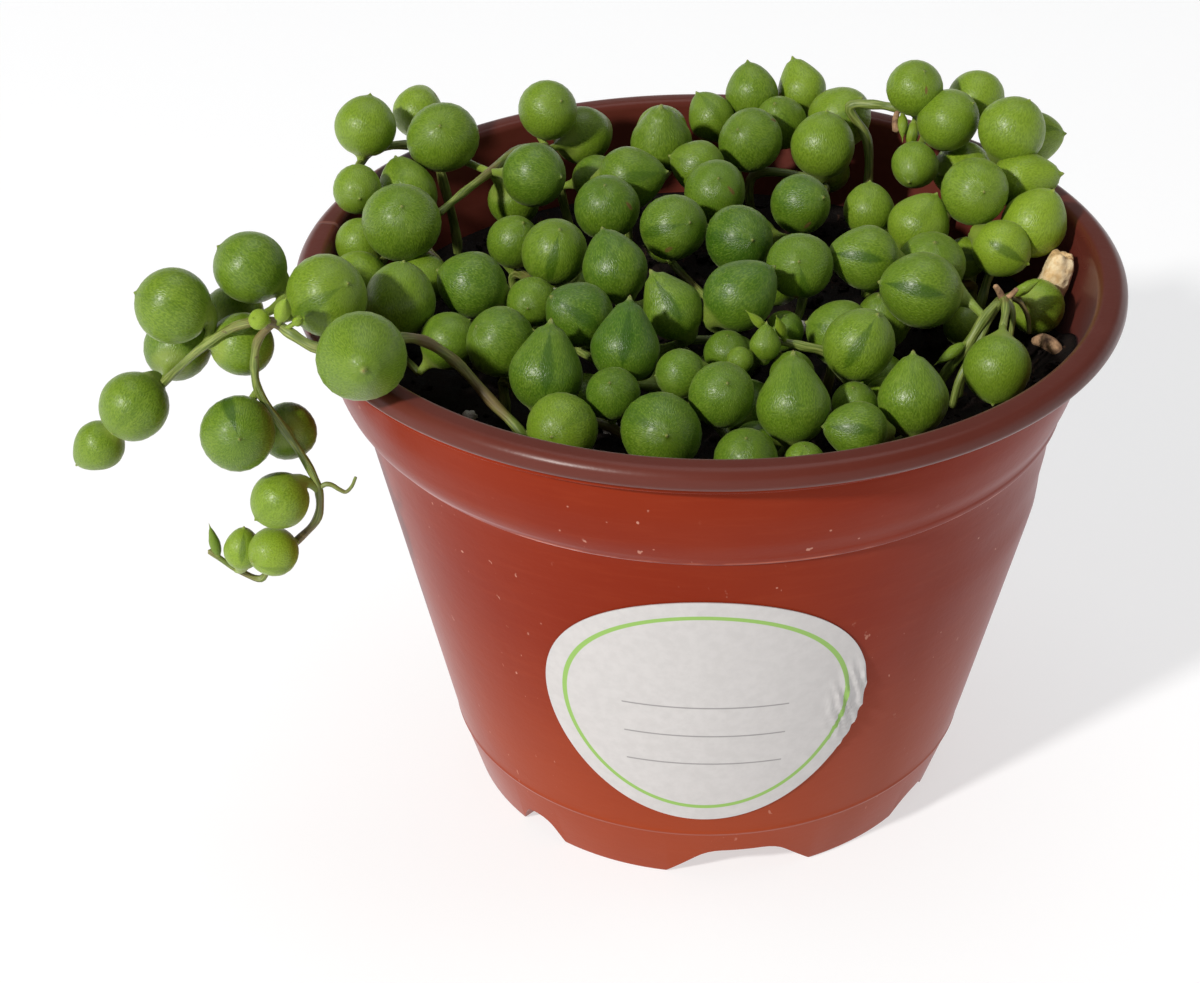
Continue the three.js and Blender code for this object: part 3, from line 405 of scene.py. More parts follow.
# Routes: where a stem runs, from where it leaves the soil; a second route is a branch of the first.
# Pearls: x, y, z and diameter, each borne by the nearest point of its strand's routes, and how some look: the
# tip's offset from the middle in pixels, right and down, how pointed it is, and how dark its window
HAND_PLACED = {
    "trailing": (
        [[[-21.5, -33], [-22.3, -32, 68.5], [-26.3, -29.6, 72], [-30.7, -27.2, 76], [-34.3, -27.6, 79],
          [-37, -29.7, 80.6], [-41.7, -30.6, 80.2], [-46.7, -31.5, 80], [-50.1, -30.6, 81.5],
          [-52.4, -28.9, 82], [-56.9, -27, 80.5], [-61.6, -26, 77.1], [-67.4, -25, 71.2], [-72, -24.5, 66]],
         [[-52.4, -28.9, 82], [-54.6, -28.2, 79], [-55.3, -28, 75.5], [-55.1, -28, 72], [-52.2, -28, 66.3],
          [-49.6, -28, 61], [-48.6, -28, 57.5], [-49, -28, 53.5], [-51.8, -28, 50], [-55.5, -28, 46.5],
          [-57, -28, 43.9], [-60, -28, 45.3], [-63.3, -28, 48]]],
        [[-40.5, -37.6, 82.3, 10.3], [-46.6, -23, 82.5, 9.8, (-12, 4, 0, 0.6)],
         [-56.6, -19, 84.2, 8.9, (-33, -22, 0, 0.2)],
         [-59.8, -16.4, 76, 7.8], [-57.6, -23.4, 75.8, 7.7],
         [-65.5, -24, 81.4, 9.2, (-35, -12, 0, 0.3)], [-67, -18, 72.4, 8.3],
         [-71.1, -27, 68.8, 8.5, (-20, 26, 0, 0.3)], [-76.7, -25, 61.8, 6.2],
         [-57.6, -31, 67.6, 9.1, (4, 2, 0, 1)], [-52.6, -24, 63.8, 7.1],
         [-53, -31, 57.9, 7.1, (-24, 19, 0.1, 0.2)], [-54.4, -31, 50.2, 6.1],
         [-58.8, -29, 49, 4.9, (1, -17, 0.5, 0.6)], [-17.2, -35.8, 72, 8.4, (-10, 8, 0, 0.3)]]),
    "back_left": (
        [[[-20, 30], [-21.5, 31, 72], [-23, 30.4, 78], [-26.8, 28.1, 79], [-30.2, 19.7, 79.5],
          [-33.4, 13.6, 79.2], [-36.1, 8.7, 78.6]]],
        [[-23, 31.8, 83.5, 8.1, (12, -8, 0, 0)], [-23.9, 15.7, 81, 8.4],
         [-36.8, 22.2, 83.4, 9.5, (22, 10, 0, 0)],
         [-18.4, 36.8, 77.5, 8.2], [-27.3, 22.7, 73.8, 7], [-16.1, 27.8, 75, 6.5]]),
    "over_left_rim": (
        [[[-36, 27], [-37.5, 27, 74], [-39, 27, 79], [-42, 26.4, 80.3], [-46.5, 25.3, 80.2],
          [-48.2, 21, 80], [-48.6, 16.6, 80.4]]],
        [[-47.5, 23, 84.5, 8], [-41.3, 31.6, 83, 7], [-47.3, 10.8, 80.9, 6.5]]),
    "left_rim": (
        [[[-33, 3], [-34, 2, 70], [-36.5, 4, 74], [-41, 5.5, 75.5], [-43.5, 1, 74.5],
          [-43, -4.5, 73.3], [-42, -9.5, 72.3], [-39.8, -14, 70.6], [-36.5, -17.8, 69]],
         [[-36.5, 4, 74], [-38.6, 8.5, 74.8], [-39.4, 11.5, 74.6]]],
        [[-40.2, 0.8, 81, 9.9, (0, -14, 0, 0.2)], [-41.3, 15.8, 78, 8.2], [-46.2, 3.4, 76.6, 6.4],
         [-45.6, -3.2, 74.6, 7.2], [-39, -13.3, 77, 8.9], [-37.2, -1.6, 74, 6.5],
         [-32.6, -16.6, 73, 7.2]]),
    "high_right": (
        [[[22, 31], [22.3, 31.5, 72], [21.9, 33.2, 79], [19.3, 34, 83.6], [22.5, 33.4, 84.2],
          [25.6, 32.8, 84], [28.3, 32.2, 83.4], [29.5, 29, 81.5]]],
        [[27.9, 30.5, 88, 7.5, (8, -14, 0, 0)], [32.5, 27.7, 84.5, 8.3], [27.9, 22.7, 80, 6.3]]),
    "over_right_rim": (
        [[[36, 16], [37.5, 18, 72], [38.5, 20, 78.5], [39, 25, 80], [40, 29.5, 80.5]]],
        [[37, 36, 84, 7.9], [40.7, 22.4, 85.5, 8.7, (14, -24, 0.1, 0)], [44.3, 28.6, 81.6, 7.4],
         [35.2, 12.3, 81, 8.8, (8, 0, 0, 0)], [42.2, 19.4, 79.5, 7.9]]),
    "right_arch": (
        [[[29.5, -13], [30.6, -13.2, 68], [32.6, -12.9, 71], [35, -11, 74.5], [37.3, -8.5, 75.8],
          [37.5, -11.5, 76.2], [36.9, -15, 75.3]],
         [[37.3, -8.5, 75.8], [39.2, -5.5, 75], [40.3, -3.2, 73]]],
        [[36, -20.3, 72.5, 8.2, (-5, 38, 0.2, 0)], [43.2, 0.7, 70, 7.1],
         [27.2, -8.4, 77, 9.7, (-38, -7, 0.3, 1)]]),
    "right_wall": (
        [[[36, 6], [36.5, 6, 68], [38, 9, 71], [41, 11.5, 71.5]]],
        [[43.2, 11, 77, 8.6], [38.6, 6.8, 75.5, 7.4, (23, 16, 0.2, 0.8)]]),
    "back_rim": (
        [[[4, 36], [4.2, 37, 70], [3.6, 38.3, 73.4], [7, 39, 74.5], [11, 40, 75.5], [15, 40.5, 75.8]]],
        [[0, 39.9, 79, 6.6], [5.7, 42.1, 82, 7.2], [9.9, 37.5, 79.5, 7.4], [12.9, 44.7, 81.5, 6.8],
         [18.1, 38.2, 80, 8.8]]),
    "budding": (
        [[[15, -17.2], [15.2, -17.8, 68], [15.3, -18.6, 73], [11.5, -19, 74.5], [8.5, -19, 75.2]]],
        [[4, -23.8, 75, 3.2], [7.1, -21.7, 76, 3.7, (2, -16, 1, 0.3)]]),
}
# The mound's pearls from the root: the pixel of the middle, diameter, how far under the mound's top, and how
# each looks, as above, or None
SEEN = {
    "front_left": [(502, 343, 8.4, 0, (-22, -14, 0, 0.2)), (545, 373, 8.8, 0, (4, -49, 1, 0.9)),
                   (610, 395, 6.3, 0, (-3, -9, 0.2, 0.1)), (663, 431, 9.3, 0, (5, 3, 0.1, 0.5))],
    "front_middle": [(683, 375, 6, 1.5, (-26, 2, 0, 0.1)), (725, 396, 7.8, 0, (5, -10, 0.1, 0.2)),
                     (746, 461, 7.6, 0, (0, -20, 0.1, 0.1)), (792, 407, 8.7, 0, (0, -42, 0.9, 0.4)),
                     (804, 461, 4.6, 0.5, None)],
    "front_right": [(791, 367, 5.6, 4, None), (859, 399, 5.5, 3, None),
                    (851, 427, 6.9, 0, (-30, -3, 0.5, 0.8)), (909, 400, 8.3, 0, (0, -41, 0.7, 0.2))],
    "middle_left": [(473, 285, 8.5, 0, (-31, -13, 0.2, 0.1)), (532, 302, 6.4, 2.5, (-4, 6, 0, 0.1)),
                    (580, 315, 8.2, 0, (-22, -14, 0.4, 0.8)), (625, 349, 8.3, 0, (5, -55, 1, 1))],
    "left_ridge": [(513, 242, 6.9, 3, (8, -15, 0.3, 0.2)), (555, 252, 8.5, 0, (4, -19, 0.1, 0.8)),
                   (607, 208, 8.5, 0, (-2, -20, 0, 0.2)), (615, 269, 8.3, 0, (-10, -32, 0.5, 0.3))],
    "centre": [(727, 353, 5.6, 4.5, None), (679, 308, 7.4, 1.5, (-22, -38, 1, 0.9)),
               (733, 297, 8.7, 0, (34, -28, 0.5, 0)), (674, 227, 8.6, 0, (15, -4, 0, 0.7))],
    "centre_back": [(629, 178, 8.2, 0, (30, -5, 0.5, 0.6)), (661, 142, 8.4, 0, None),
                    (683, 126, 7.4, 2.3, (0, -24, 0, 0)), (699, 166, 6.9, 0.5, (-23, -8, 0.4, 0.3)),
                    (715, 192, 8.3, 0, (3, -12, 0, 0.1)), (738, 239, 8.7, 0, (12, 1, 0.1, 0.6))],
    "back_right": [(755, 138, 8.7, 0, (-12, -10, 0, 0.1)), (823, 146, 8.7, 0, (3, -28, 0.2, 0.1)),
                   (800, 204, 7.8, 0, (18, -5, 0.3, 0.2)), (800, 266, 8.3, 0, (-1, -4, 0, 0.8)),
                   (784, 331, 5, 5, None)],
    "right_ridge": [(961, 151, 8, 0, (-20, 4, 0.3, 0.4)), (923, 221, 7.7, 1, (16, -28, 0.4, 0.3)),
                    (871, 211, 6.7, 2, (1, -24, 0.2, 0.1)), (869, 259, 8.1, 0, (-33, -4, 0.5, 1))],
    "right_front": [(976, 258, 5.6, 5, (24, 11, 0.7, 0.8)), (931, 265, 8.6, 2.4, (3, -18, 0.2, 0.3)),
                    (889, 316, 7, 6.5, None), (842, 335, 8.1, 4.5, (-31, -10, 0.3, 0.5)),
                    (859, 351, 8.7, 0, (14, -24, 0.3, 0.8))],
}
MOUND_TOP, MOUND_RISE, MOUND_REACH, MOUND_FALL = 79, 0.045, 42, 4
STALK_AXIS = (0, -0.25, 0.968)
LOW_SHARE = 0.5  # of the mound's pearls have a lower one beside them
LOW_REACH, LOW_DROP = 6.5, 1
LOW_DIAMETERS = (5.4, 7.2)
SEARCH_FROM, SEARCH_TO, HALVINGS = SOIL_TOP - 5, RIM_TOP + 20, 40
SEED = 3


class Strand:
    """A stem and its pearls. loose: how freely it settles, 0 to 1. held: how many of its points stay put."""

    def __init__(self, name, loose, held):
        self.name, self.loose, self.held = name, loose, held
        self.nodes, self.links, self.pearls, self.routes = [], [], [], []


class Pearl:
    def __init__(self, strand, node, at, diameter, look=None):
        self.strand, self.node, self.at, self.home = strand, node, list(at), list(at)
        self.r, self.w, self.look = diameter / 2, strand.loose, look


class Rod:
    """A length of stem, or a stalk, between two places. wa and wb: how freely its ends move."""

    def __init__(self, strand, i, j, a, b, r, wa, wb):
        self.strand, self.i, self.j, self.r = strand, i, j, r
        self.a, self.b, self.wa, self.wb = a, b, wa, wb
        self.length = math.dist(a, b)


def root_at(x, y):
    return [[x, y, SOIL_TOP - ROOT_DEPTH], [x, y, SOIL_TOP + ROOT_RISE]]


def inner_radius(z):
    return RIM_INNER - (RIM_TOP - min(z, RIM_TOP)) * WALL_LEAN


def mound_height(x, y):
    """Of the uppermost pearls' middles: a low mound, sloping down to the front."""
    edge = (math.hypot(x, y) / MOUND_REACH) ** 3
    return MOUND_TOP + MOUND_RISE * y - MOUND_FALL * edge * (1 - y / 45)


def hand_placed(name):
    routes, pearls = HAND_PLACED[name]
    strand = Strand(name, 0.0, 0)
    for k, route in enumerate(routes):
        points = root_at(*route[0]) + route[1:] if k == 0 else route
        last = -1
        for point in points:
            here = strand.nodes.index(point) if point in strand.nodes else -1
            if here < 0:
                strand.nodes.append(list(point))
                here = len(strand.nodes) - 1
            if last >= 0:
                strand.links.append((last, here))
            last = here
        strand.routes.append([strand.nodes.index(p) for p in points])
    strand.held = len(strand.nodes)
    for x, y, z, diameter, *look in pearls:
        reach = [math.dist(node, (x, y, z)) for node in strand.nodes]
        strand.pearls.append(Pearl(strand, reach.index(min(reach)), (x, y, z), diameter, *look))
    return strand


def camera_axes():
    """The photograph's right, up and back, as directions in space."""
    turns = [math.radians(a) for a in CAMERA_TURN]
    (sa, ca), (sb, cb), (sc, cc) = ((math.sin(a), math.cos(a)) for a in turns)
    return ((cc * cb, sc * cb, -sb), (cc * sb * sa - sc * ca, sc * sb * sa + cc * ca, cb * sa),
            (cc * sb * ca + sc * sa, sc * sb * ca - cc * sa, cb * ca))


RIGHT, UP, BACK = camera_axes()


def seen_at(px, py, lower):
    """Where a pixel of the photograph falls on the mound, some way under its top."""
    across = (px - PHOTO_SIZE[0] / 2) / FOCAL_PIXELS
    up = (PHOTO_SIZE[1] / 2 - py) / FOCAL_PIXELS
    ray = [RIGHT[c] * across + UP[c] * up - BACK[c] for c in range(3)]

    def at_height(z):
        reach = (z - CAMERA_AT[2]) / ray[2]
        return [CAMERA_AT[0] + ray[0] * reach, CAMERA_AT[1] + ray[1] * reach, z]
    low, high = SEARCH_FROM, SEARCH_TO
    for _ in range(HALVINGS):
        x, y, z = at_height((low + high) / 2)
        if z > mound_height(x, y) - lower:
            high = z
        else:
            low = z
    return at_height(low)


def mound_strand(name, draw):
    """One creeping strand, from pearl to pearl, with lower pearls on alternate sides."""
    strand = Strand(name, 1.0, 2)
    for k, (px, py, diameter, lower, look) in enumerate(SEEN[name]):
        at = seen_at(px, py, lower)
        reach = diameter / 2 + STEM + STALK
        node = [at[c] - STALK_AXIS[c] * reach for c in range(3)]
        node[2] = max(node[2], SOIL_TOP + STEM + WALL_AIR)
        inward = min(1, ROOTS_WITHIN / math.hypot(node[0], node[1]))
        if k == 0:
            strand.nodes += root_at(node[0] * inward, node[1] * inward)
        strand.nodes.append(node)
        strand.pearls.append(Pearl(strand, k + 2, at, diameter, look))
    for j in range(3, len(strand.nodes)):
        if draw(0, 1) > LOW_SHARE:
            continue
        before, here = strand.nodes[j - 1], strand.nodes[j]
        dx, dy = here[0] - before[0], here[1] - before[1]
        sideways = (1 if j % 2 else -1) * LOW_REACH / math.hypot(dx, dy)
        at = [here[0] - dy * sideways, here[1] + dx * sideways, here[2] - LOW_DROP]
        strand.pearls.append(Pearl(strand, j, at, draw(*LOW_DIAMETERS)))
    strand.links = [(j - 1, j) for j in range(1, len(strand.nodes))]
    strand.routes = [list(range(len(strand.nodes)))]
    return strand


def plan_strands():
    draw = seeded(SEED)
    return [hand_placed(name) for name in HAND_PLACED] + [mound_strand(name, draw) for name in SEEN]


def nearest(a, b, p):
    """The nearest place to p on the line from a to b, and its share of the way."""
    ab = [b[c] - a[c] for c in range(3)]
    length2 = ab[0] * ab[0] + ab[1] * ab[1] + ab[2] * ab[2]
    dot = (p[0] - a[0]) * ab[0] + (p[1] - a[1]) * ab[1] + (p[2] - a[2]) * ab[2]
    t = max(0, min(1, dot / length2))
    return t, [a[c] + ab[c] * t for c in range(3)]


def part(start, end, need, ends):
    """Moves ends, each a (place, weight, share), so that start and end, which they carry, lie need apart."""
    d = math.dist(start, end)
    give = sum(abs(w) * share for _, w, share in ends)
    if give == 0 or d == 0:
        return
    factor = (need - d) / d / give
    move = [(end[c] - start[c]) * factor for c in range(3)]
    for p, w, _ in ends:
        for c in range(3):
            p[c] += move[c] * w


def keep_in_pot(p, r):
    """Keeps a ball of radius r above the soil and out of the pot's wall and rim."""
    rho = math.hypot(p[0], p[1])
    if rho < RIM_INNER and p[2] < SOIL_TOP + r:
        p[2] = SOIL_TOP + r
    wall = inner_radius(p[2])
    near_rho = max(wall, min(RIM_OUTER, rho))
    near_z = min(p[2], RIM_TOP)
    d = math.hypot(rho - near_rho, p[2] - near_z)
    if d >= r:
        return
    rho_new = wall - r if d == 0 else near_rho + (rho - near_rho) / d * r
    if d > 0:
        p[2] = near_z + (p[2] - near_z) / d * r
    p[0] *= rho_new / rho
    p[1] *= rho_new / rho


def find_pairs(balls, rods):
    """What is near each other and can move: pairs of pearls, of a pearl and a rod, and of rods."""
    near_balls = [(a, b) for i, a in enumerate(balls) for b in balls[i + 1:]
                  if a.w + b.w > 0 and math.dist(a.at, b.at) < a.r + b.r + NEAR]
    mixed = [(a, q) for a in balls for q in rods
             if not (a.strand is q.strand and (q.j is None or a.node in (q.i, q.j)))
             and a.w + q.wa + q.wb != 0 and math.dist(a.at, nearest(q.a, q.b, a.at)[1]) < a.r + STEM + NEAR]
    near_rods = [(p, q) for i, p in enumerate(rods) for q in rods[i + 1:]
                 if p.strand is not q.strand and p.wa + p.wb + q.wa + q.wb > 0
                 and math.dist(p.a, q.a) < NEAR_RODS]
    return near_balls, mixed, near_rods


def push_apart(near_balls, mixed, near_rods):
    for a, b in near_balls:
        need = a.r + b.r + PEARL_GAP
        if math.dist(a.at, b.at) < need:
            part(a.at, b.at, need, [(a.at, -a.w, 1), (b.at, b.w, 1)])
    for a, q in mixed:
        need = a.r + q.r + PEARL_GAP
        t, near = nearest(q.a, q.b, a.at)
        if math.dist(a.at, near) < need:
            part(a.at, near, need, [(a.at, -a.w, 1), (q.a, q.wa * (1 - t), 1 - t), (q.b, q.wb * t, t)])
    for p, q in near_rods:
        for u in (0, 0.5, 1):
            need = p.r + q.r + PEARL_GAP
            at = [p.a[c] + (p.b[c] - p.a[c]) * u for c in range(3)]
            t, near = nearest(q.a, q.b, at)
            if math.dist(at, near) < need:
                part(at, near, need, [(p.a, -p.wa * (1 - u), 1 - u), (p.b, -p.wb * u, u),
                                      (q.a, q.wa * (1 - t), 1 - t), (q.b, q.wb * t, t)])


def settle(strands):
    """Moves the mound's pearls and stems until they stand clear of each other and of the pot."""
    balls = [pearl for strand in strands for pearl in strand.pearls]
    homes = {strand.name: [list(node) for node in strand.nodes] for strand in strands}
    rods = []
    for s in strands:
        weight = [0.0 if k < s.held else s.loose for k in range(len(s.nodes))]
        rods += [Rod(s, i, j, s.nodes[i], s.nodes[j], STEM, weight[i], weight[j]) for i, j in s.links]
    stems = list(rods)
    for b in balls:
        s = b.strand
        loose = 0.0 if b.node < s.held else s.loose
        rods.append(Rod(s, b.node, None, s.nodes[b.node], b.at, NECK, loose, b.w))
    growing = [strand for strand in strands if strand.loose]
    for step in range(SETTLE_STEPS):
        pull = PULL if step < SETTLE_STEPS - LAST_STEPS else 0
        for strand in growing:
            pulled = list(zip(strand.nodes, homes[strand.name]))[strand.held:]
            for place, home in pulled + [(pearl.at, pearl.home) for pearl in strand.pearls]:
                for c in range(3):
                    place[c] += (home[c] - place[c]) * pull
        for q in stems:
            d = math.dist(q.a, q.b)
            part(q.a, q.b, d + STEM_GIVE * (q.length - d), [(q.a, -q.wa, 1), (q.b, q.wb, 1)])
        for b in balls:
            if b.w:
                node = b.strand.nodes[b.node]
                d = math.dist(node, b.at)
                want = min(max(d, b.r + STEM + STALK_MIN), b.r + STEM + STALK_MAX)
                part(node, b.at, want, [(node, -NODE_SHARE, 1), (b.at, 1 - NODE_SHARE, 1)])
        if step % LOOK_EVERY == 0:
            pairs = find_pairs(balls, rods)
        push_apart(*pairs)
        for strand in growing:
            for pearl in strand.pearls:
                keep_in_pot(pearl.at, pearl.r + WALL_AIR)
            for node in strand.nodes[strand.held:]:
                keep_in_pot(node, STEM + WALL_AIR)


# ---------- Strands ----------

AROUND, BODY_RINGS, STALK_RINGS = 24, 19, 6  # points around a pearl, and rings along it
STEM_SIDES, SHOOT_SIDES = 10, 8
SMOOTH = 6  # steps from one point of a stem to the next
MAIN_STEM, BRANCH, SWELLING, TAPER = 0.8, 0.64, 0.09, 0.28  # how thick stems are, against the solid's
STEM_END = 0.7  # how far a stem's rounded end stands out, in radii
STEM_V = 10  # mm of a stem for 1 in the skin's layout
JOINT = math.radians(28)  # where a pearl's body goes over into its stalk, from the pole
CAP, POINTED_CAP = 171, 18  # degrees from the pole to where the tip starts, and less if pointed
POINT_STRETCH, POINT_PINCH = 0.42, 0.3
TIP_RINGS = ((0.16, 0.68), (0.34, 0.42), (0.55, 0.26), (0.8, 0.16))  # share of a tip's length, and width
FOOT_V, TIP_V = 0.25, 0.91  # where the body starts and ends in the skin's layout
FULLER = 1.03  # a round pearl, against the solid's facets
LEAST_TIP, TIP_SHARE, BUD_TIP = 0.1, 0.05, 0.35
TIP_AIR, TIP_GAP = 0.15, 0.1  # from a point to the pot, and to another pearl
TIP_STEP, TIP_CUT, STUB = 0.1, 0.1, 0.05  # a point is shortened by steps, down to a share or to a stub
BUD, BUD_NECK = 2, 0.3  # a leaf of a smaller radius is a bud, and how thick its stalk is
BUD_SEEDS = (0, 0.8)  # below what gives a scar
STALK_BEND, STALK_SUNK = 0.4, 0.3  # where a stalk bends, from the pearl, and how deep it starts in the stem
TAPER_FROM = 0.6  # of a stem's length
SIDEWAYS = 0.97  # the farthest that a tip is seen from its pearl's middle, in radii
FARTHEST_TURN = math.radians(85)  # of a tip, from its stalk's way
LOOK_FROM, WANDER = Vector((-0.25, -0.75, 0.6)), 0.8  # windows turn roughly this way, towards the light
DARKEST = 0.7
SQUEEZE, UNEVEN, UNEVEN_SCALE = 0.03, 0.055, 0.8
CREASE, CREASE_WIDTH = 0.015, 0.3
TINT_SPREAD = (-0.12, 0.16)
HANGING_TINT, LOW_TINT, LOW_FROM = 0.42, 0.66, 60  # of the hanging strand, and under that height yellower still: a painted glow of light shining through the pearls
MOUND_TINT, RIGHT_TINT, SIDE_TINT, SMALL_TINT = 0.12, 0.5, 0.25, 0.08
SMALL = 4.2  # a pearl of a smaller radius is younger, and yellower
LOOK_SEED = 19

# Buds: a place on the stem, the middle of the bud, its radius, slenderness and tint
BUDS = {
    "trailing": [
        ((-52.6, -29.0, 82.1), (-53.6, -31.2, 83.6), 1.25, 0, 1),
        ((-51.6, -29.7, 82), (-50.6, -31.6, 85), 1.05, 0.9, 0.95),
        ((-50.8, -30.2, 81.7), (-48.9, -31.4, 83.6), 0.7, 0, 0.9),
        ((-62.2, -28, 47.1), (-62.5, -28.1, 49.2), 0.72, 1.6, 0.5),
    ],
    "high_right": [
        ((26.6, 32.6, 83.9), (26.6, 31.2, 82.3), 0.75, 0.8, 0.9),
        ((28.3, 32.0, 83.2), (28.0, 31.0, 80.9), 0.95, 0.8, 0.9),
    ],
    "budding": [
        ((9.6, -19, 75.0), (9.0, -20.2, 77.4), 0.7, 1.5, 0.95),
        ((8.9, -19, 75.1), (6.2, -20.2, 78.4), 0.62, 1.3, 1),
    ],
    "right_arch": [
        ((33.3, -12.5, 72.1), (31.1, -14.0, 71.2), 0.8, 1.3, 0.55),
        ((38.8, -6.2, 75.2), (40.2, -6.4, 76.3), 0.7, 1.2, 0.8),
    ],
}
# Thin shoots and stubs: points, radius at the start and at the end, and the material's slot
SHOOTS = {
    "trailing": [
        ([(-48.6, -28, 57.9), (-47.6, -28, 58.5), (-46.9, -28, 58.4), (-45.9, -28, 57.7), (-45.2, -28, 57.4),
          (-44.4, -28, 58.2), (-43.8, -28, 59.6)], 0.36, 0.2, 1),
    ],
    "right_arch": [
        ([(37.4, -8.6, 75.9), (36.9, -8.6, 77.0), (36.3, -8.7, 77.9)], 0.5, 0.36, 2),
        ([(37.8, -8.4, 75.9), (38.6, -8.6, 76.8), (39.0, -8.9, 77.6)], 0.42, 0.3, 2),
        ([(36.9, -9.0, 75.7), (35.4, -10.4, 73.6), (33.6, -12.0, 70.6), (32.6, -12.3, 66.6),
          (32.4, -12.2, 63.8)], 0.6, 0.55, 1),
        ([(38.6, -6.5, 75.2), (39.9, -6.9, 74.6), (40.9, -7.6, 73.0), (41.2, -8.2, 70.9)], 0.42, 0.3, 1),
        ([(38.2, -8.9, 76.0), (38.6, -10.6, 75.0), (38.4, -11.4, 72.0), (37.7, -11.2, 67.0),
          (37.2, -10.6, 63.6)], 0.38, 0.34, 1),
        ([(36.2, -9.8, 75.2), (34.2, -12.6, 71.6), (32.0, -14.6, 67.4), (31.4, -15.0, 63.8)], 0.5, 0.5, 1),
    ],
    "high_right": [
        ([(26.0, 32.7, 84.0), (25.6, 31.6, 82.6), (25.8, 31.0, 81.4)], 0.35, 0.6, 2),
    ],
}


def smooth_line(points, steps=SMOOTH):
    """A smooth line through points, with steps from each to the next."""
    places = [Vector(p) for p in points]
    places = [2 * places[0] - places[1], *places, 2 * places[-1] - places[-2]]
    line = []
    for p0, p1, p2, p3 in zip(places, places[1:], places[2:], places[3:]):
        t1 = (p1 - p0).length ** 0.5
        t2 = t1 + (p2 - p1).length ** 0.5
        t3 = t2 + (p3 - p2).length ** 0.5
        for k in range(steps):
            t = t1 + (t2 - t1) * k / steps
            halfway = (t - t1) / (t2 - t1)
            a1, a2, a3 = p0.lerp(p1, t / t1), p1.lerp(p2, halfway), p2.lerp(p3, (t - t2) / (t3 - t2))
            line.append(a1.lerp(a2, t / t2).lerp(a2.lerp(a3, (t - t1) / (t3 - t1)), halfway))
    return line + [places[-2]]


def add_stem(sheet, line, radius_at, slot, sides=SHOOT_SIDES):
    """A tube with rounded ends along a line of vectors. radius_at: its radius at a share of its length."""
    last = len(line) - 1
    tangents = [(line[min(k + 1, last)] - line[max(k - 1, 0)]).normalized() for k in range(last + 1)]
    side = tangents[0].orthogonal().normalized()
    rings, run = [(0, [line[0] - tangents[0] * (radius_at(0) * STEM_END)])], 0.0
    for k, (place, tangent) in enumerate(zip(line, tangents)):
        side = (side - tangent * side.dot(tangent)).normalized()
        other = tangent.cross(side)
        run += (place - line[k - 1]).length / STEM_V if k else 0
        r = radius_at(k / last)
        rings.append((run, [place + (side * math.cos(a) + other * math.sin(a)) * r for a in circle(sides)]))
    rings.append((run, [line[-1] + tangents[-1] * (radius_at(1) * STEM_END)]))
    sheet.tube(rings, (0.5, 0.5, 0.0), slot)


def neck_of(r):
    return NECK if r > BUD else BUD_NECK


def body_profile(r, slender, pointed, tip):
    """Rings of (height over the middle, radius, v) from the stalk to the tip, and the tip's height."""
    rings = []
    cap = math.radians(CAP - POINTED_CAP * pointed)
    for k in range(BODY_RINGS):
        share = k / (BODY_RINGS - 1)
        angle = JOINT + (cap - JOINT) * share
        up = -math.cos(angle)
        drawn_out = pointed * max(0, up) ** 2
        rings.append((r * (1 + slender) * up * (1 + POINT_STRETCH * drawn_out),
                      r * math.sin(angle) * (1 - POINT_PINCH * drawn_out), FOOT_V + (TIP_V - FOOT_V) * share))
    base_height, base_radius, _ = rings[-1]
    length = r * (1 + math.cos(cap)) + tip
    for share, width in TIP_RINGS:
        rings.append((base_height + length * share, base_radius * width, TIP_V + (1 - TIP_V) * share))
    return rings, base_height + length


def tip_way(pearl):
    """Where a pearl's tip points: as it is seen, within reach of the stalk, or straight on from the stalk."""
    node, at = Vector(pearl.strand.nodes[pearl.node]), Vector(pearl.at)
    axis = (at - node).normalized()
    if not pearl.look:
        return axis
    depth = (Vector(CAMERA_AT) - at).dot(Vector(BACK))
    across, down = (offset * depth / FOCAL_PIXELS / pearl.r for offset in pearl.look[:2])
    off = math.hypot(across, down)
    aside = min(1, SIDEWAYS / off) * (Vector(RIGHT) * across - Vector(UP) * down)
    way = aside + (Vector(CAMERA_AT) - at).normalized() * math.sqrt(1 - min(off, SIDEWAYS) ** 2)
    return axis.slerp(way.normalized(), min(1, FARTHEST_TURN / axis.angle(way))).normalized()


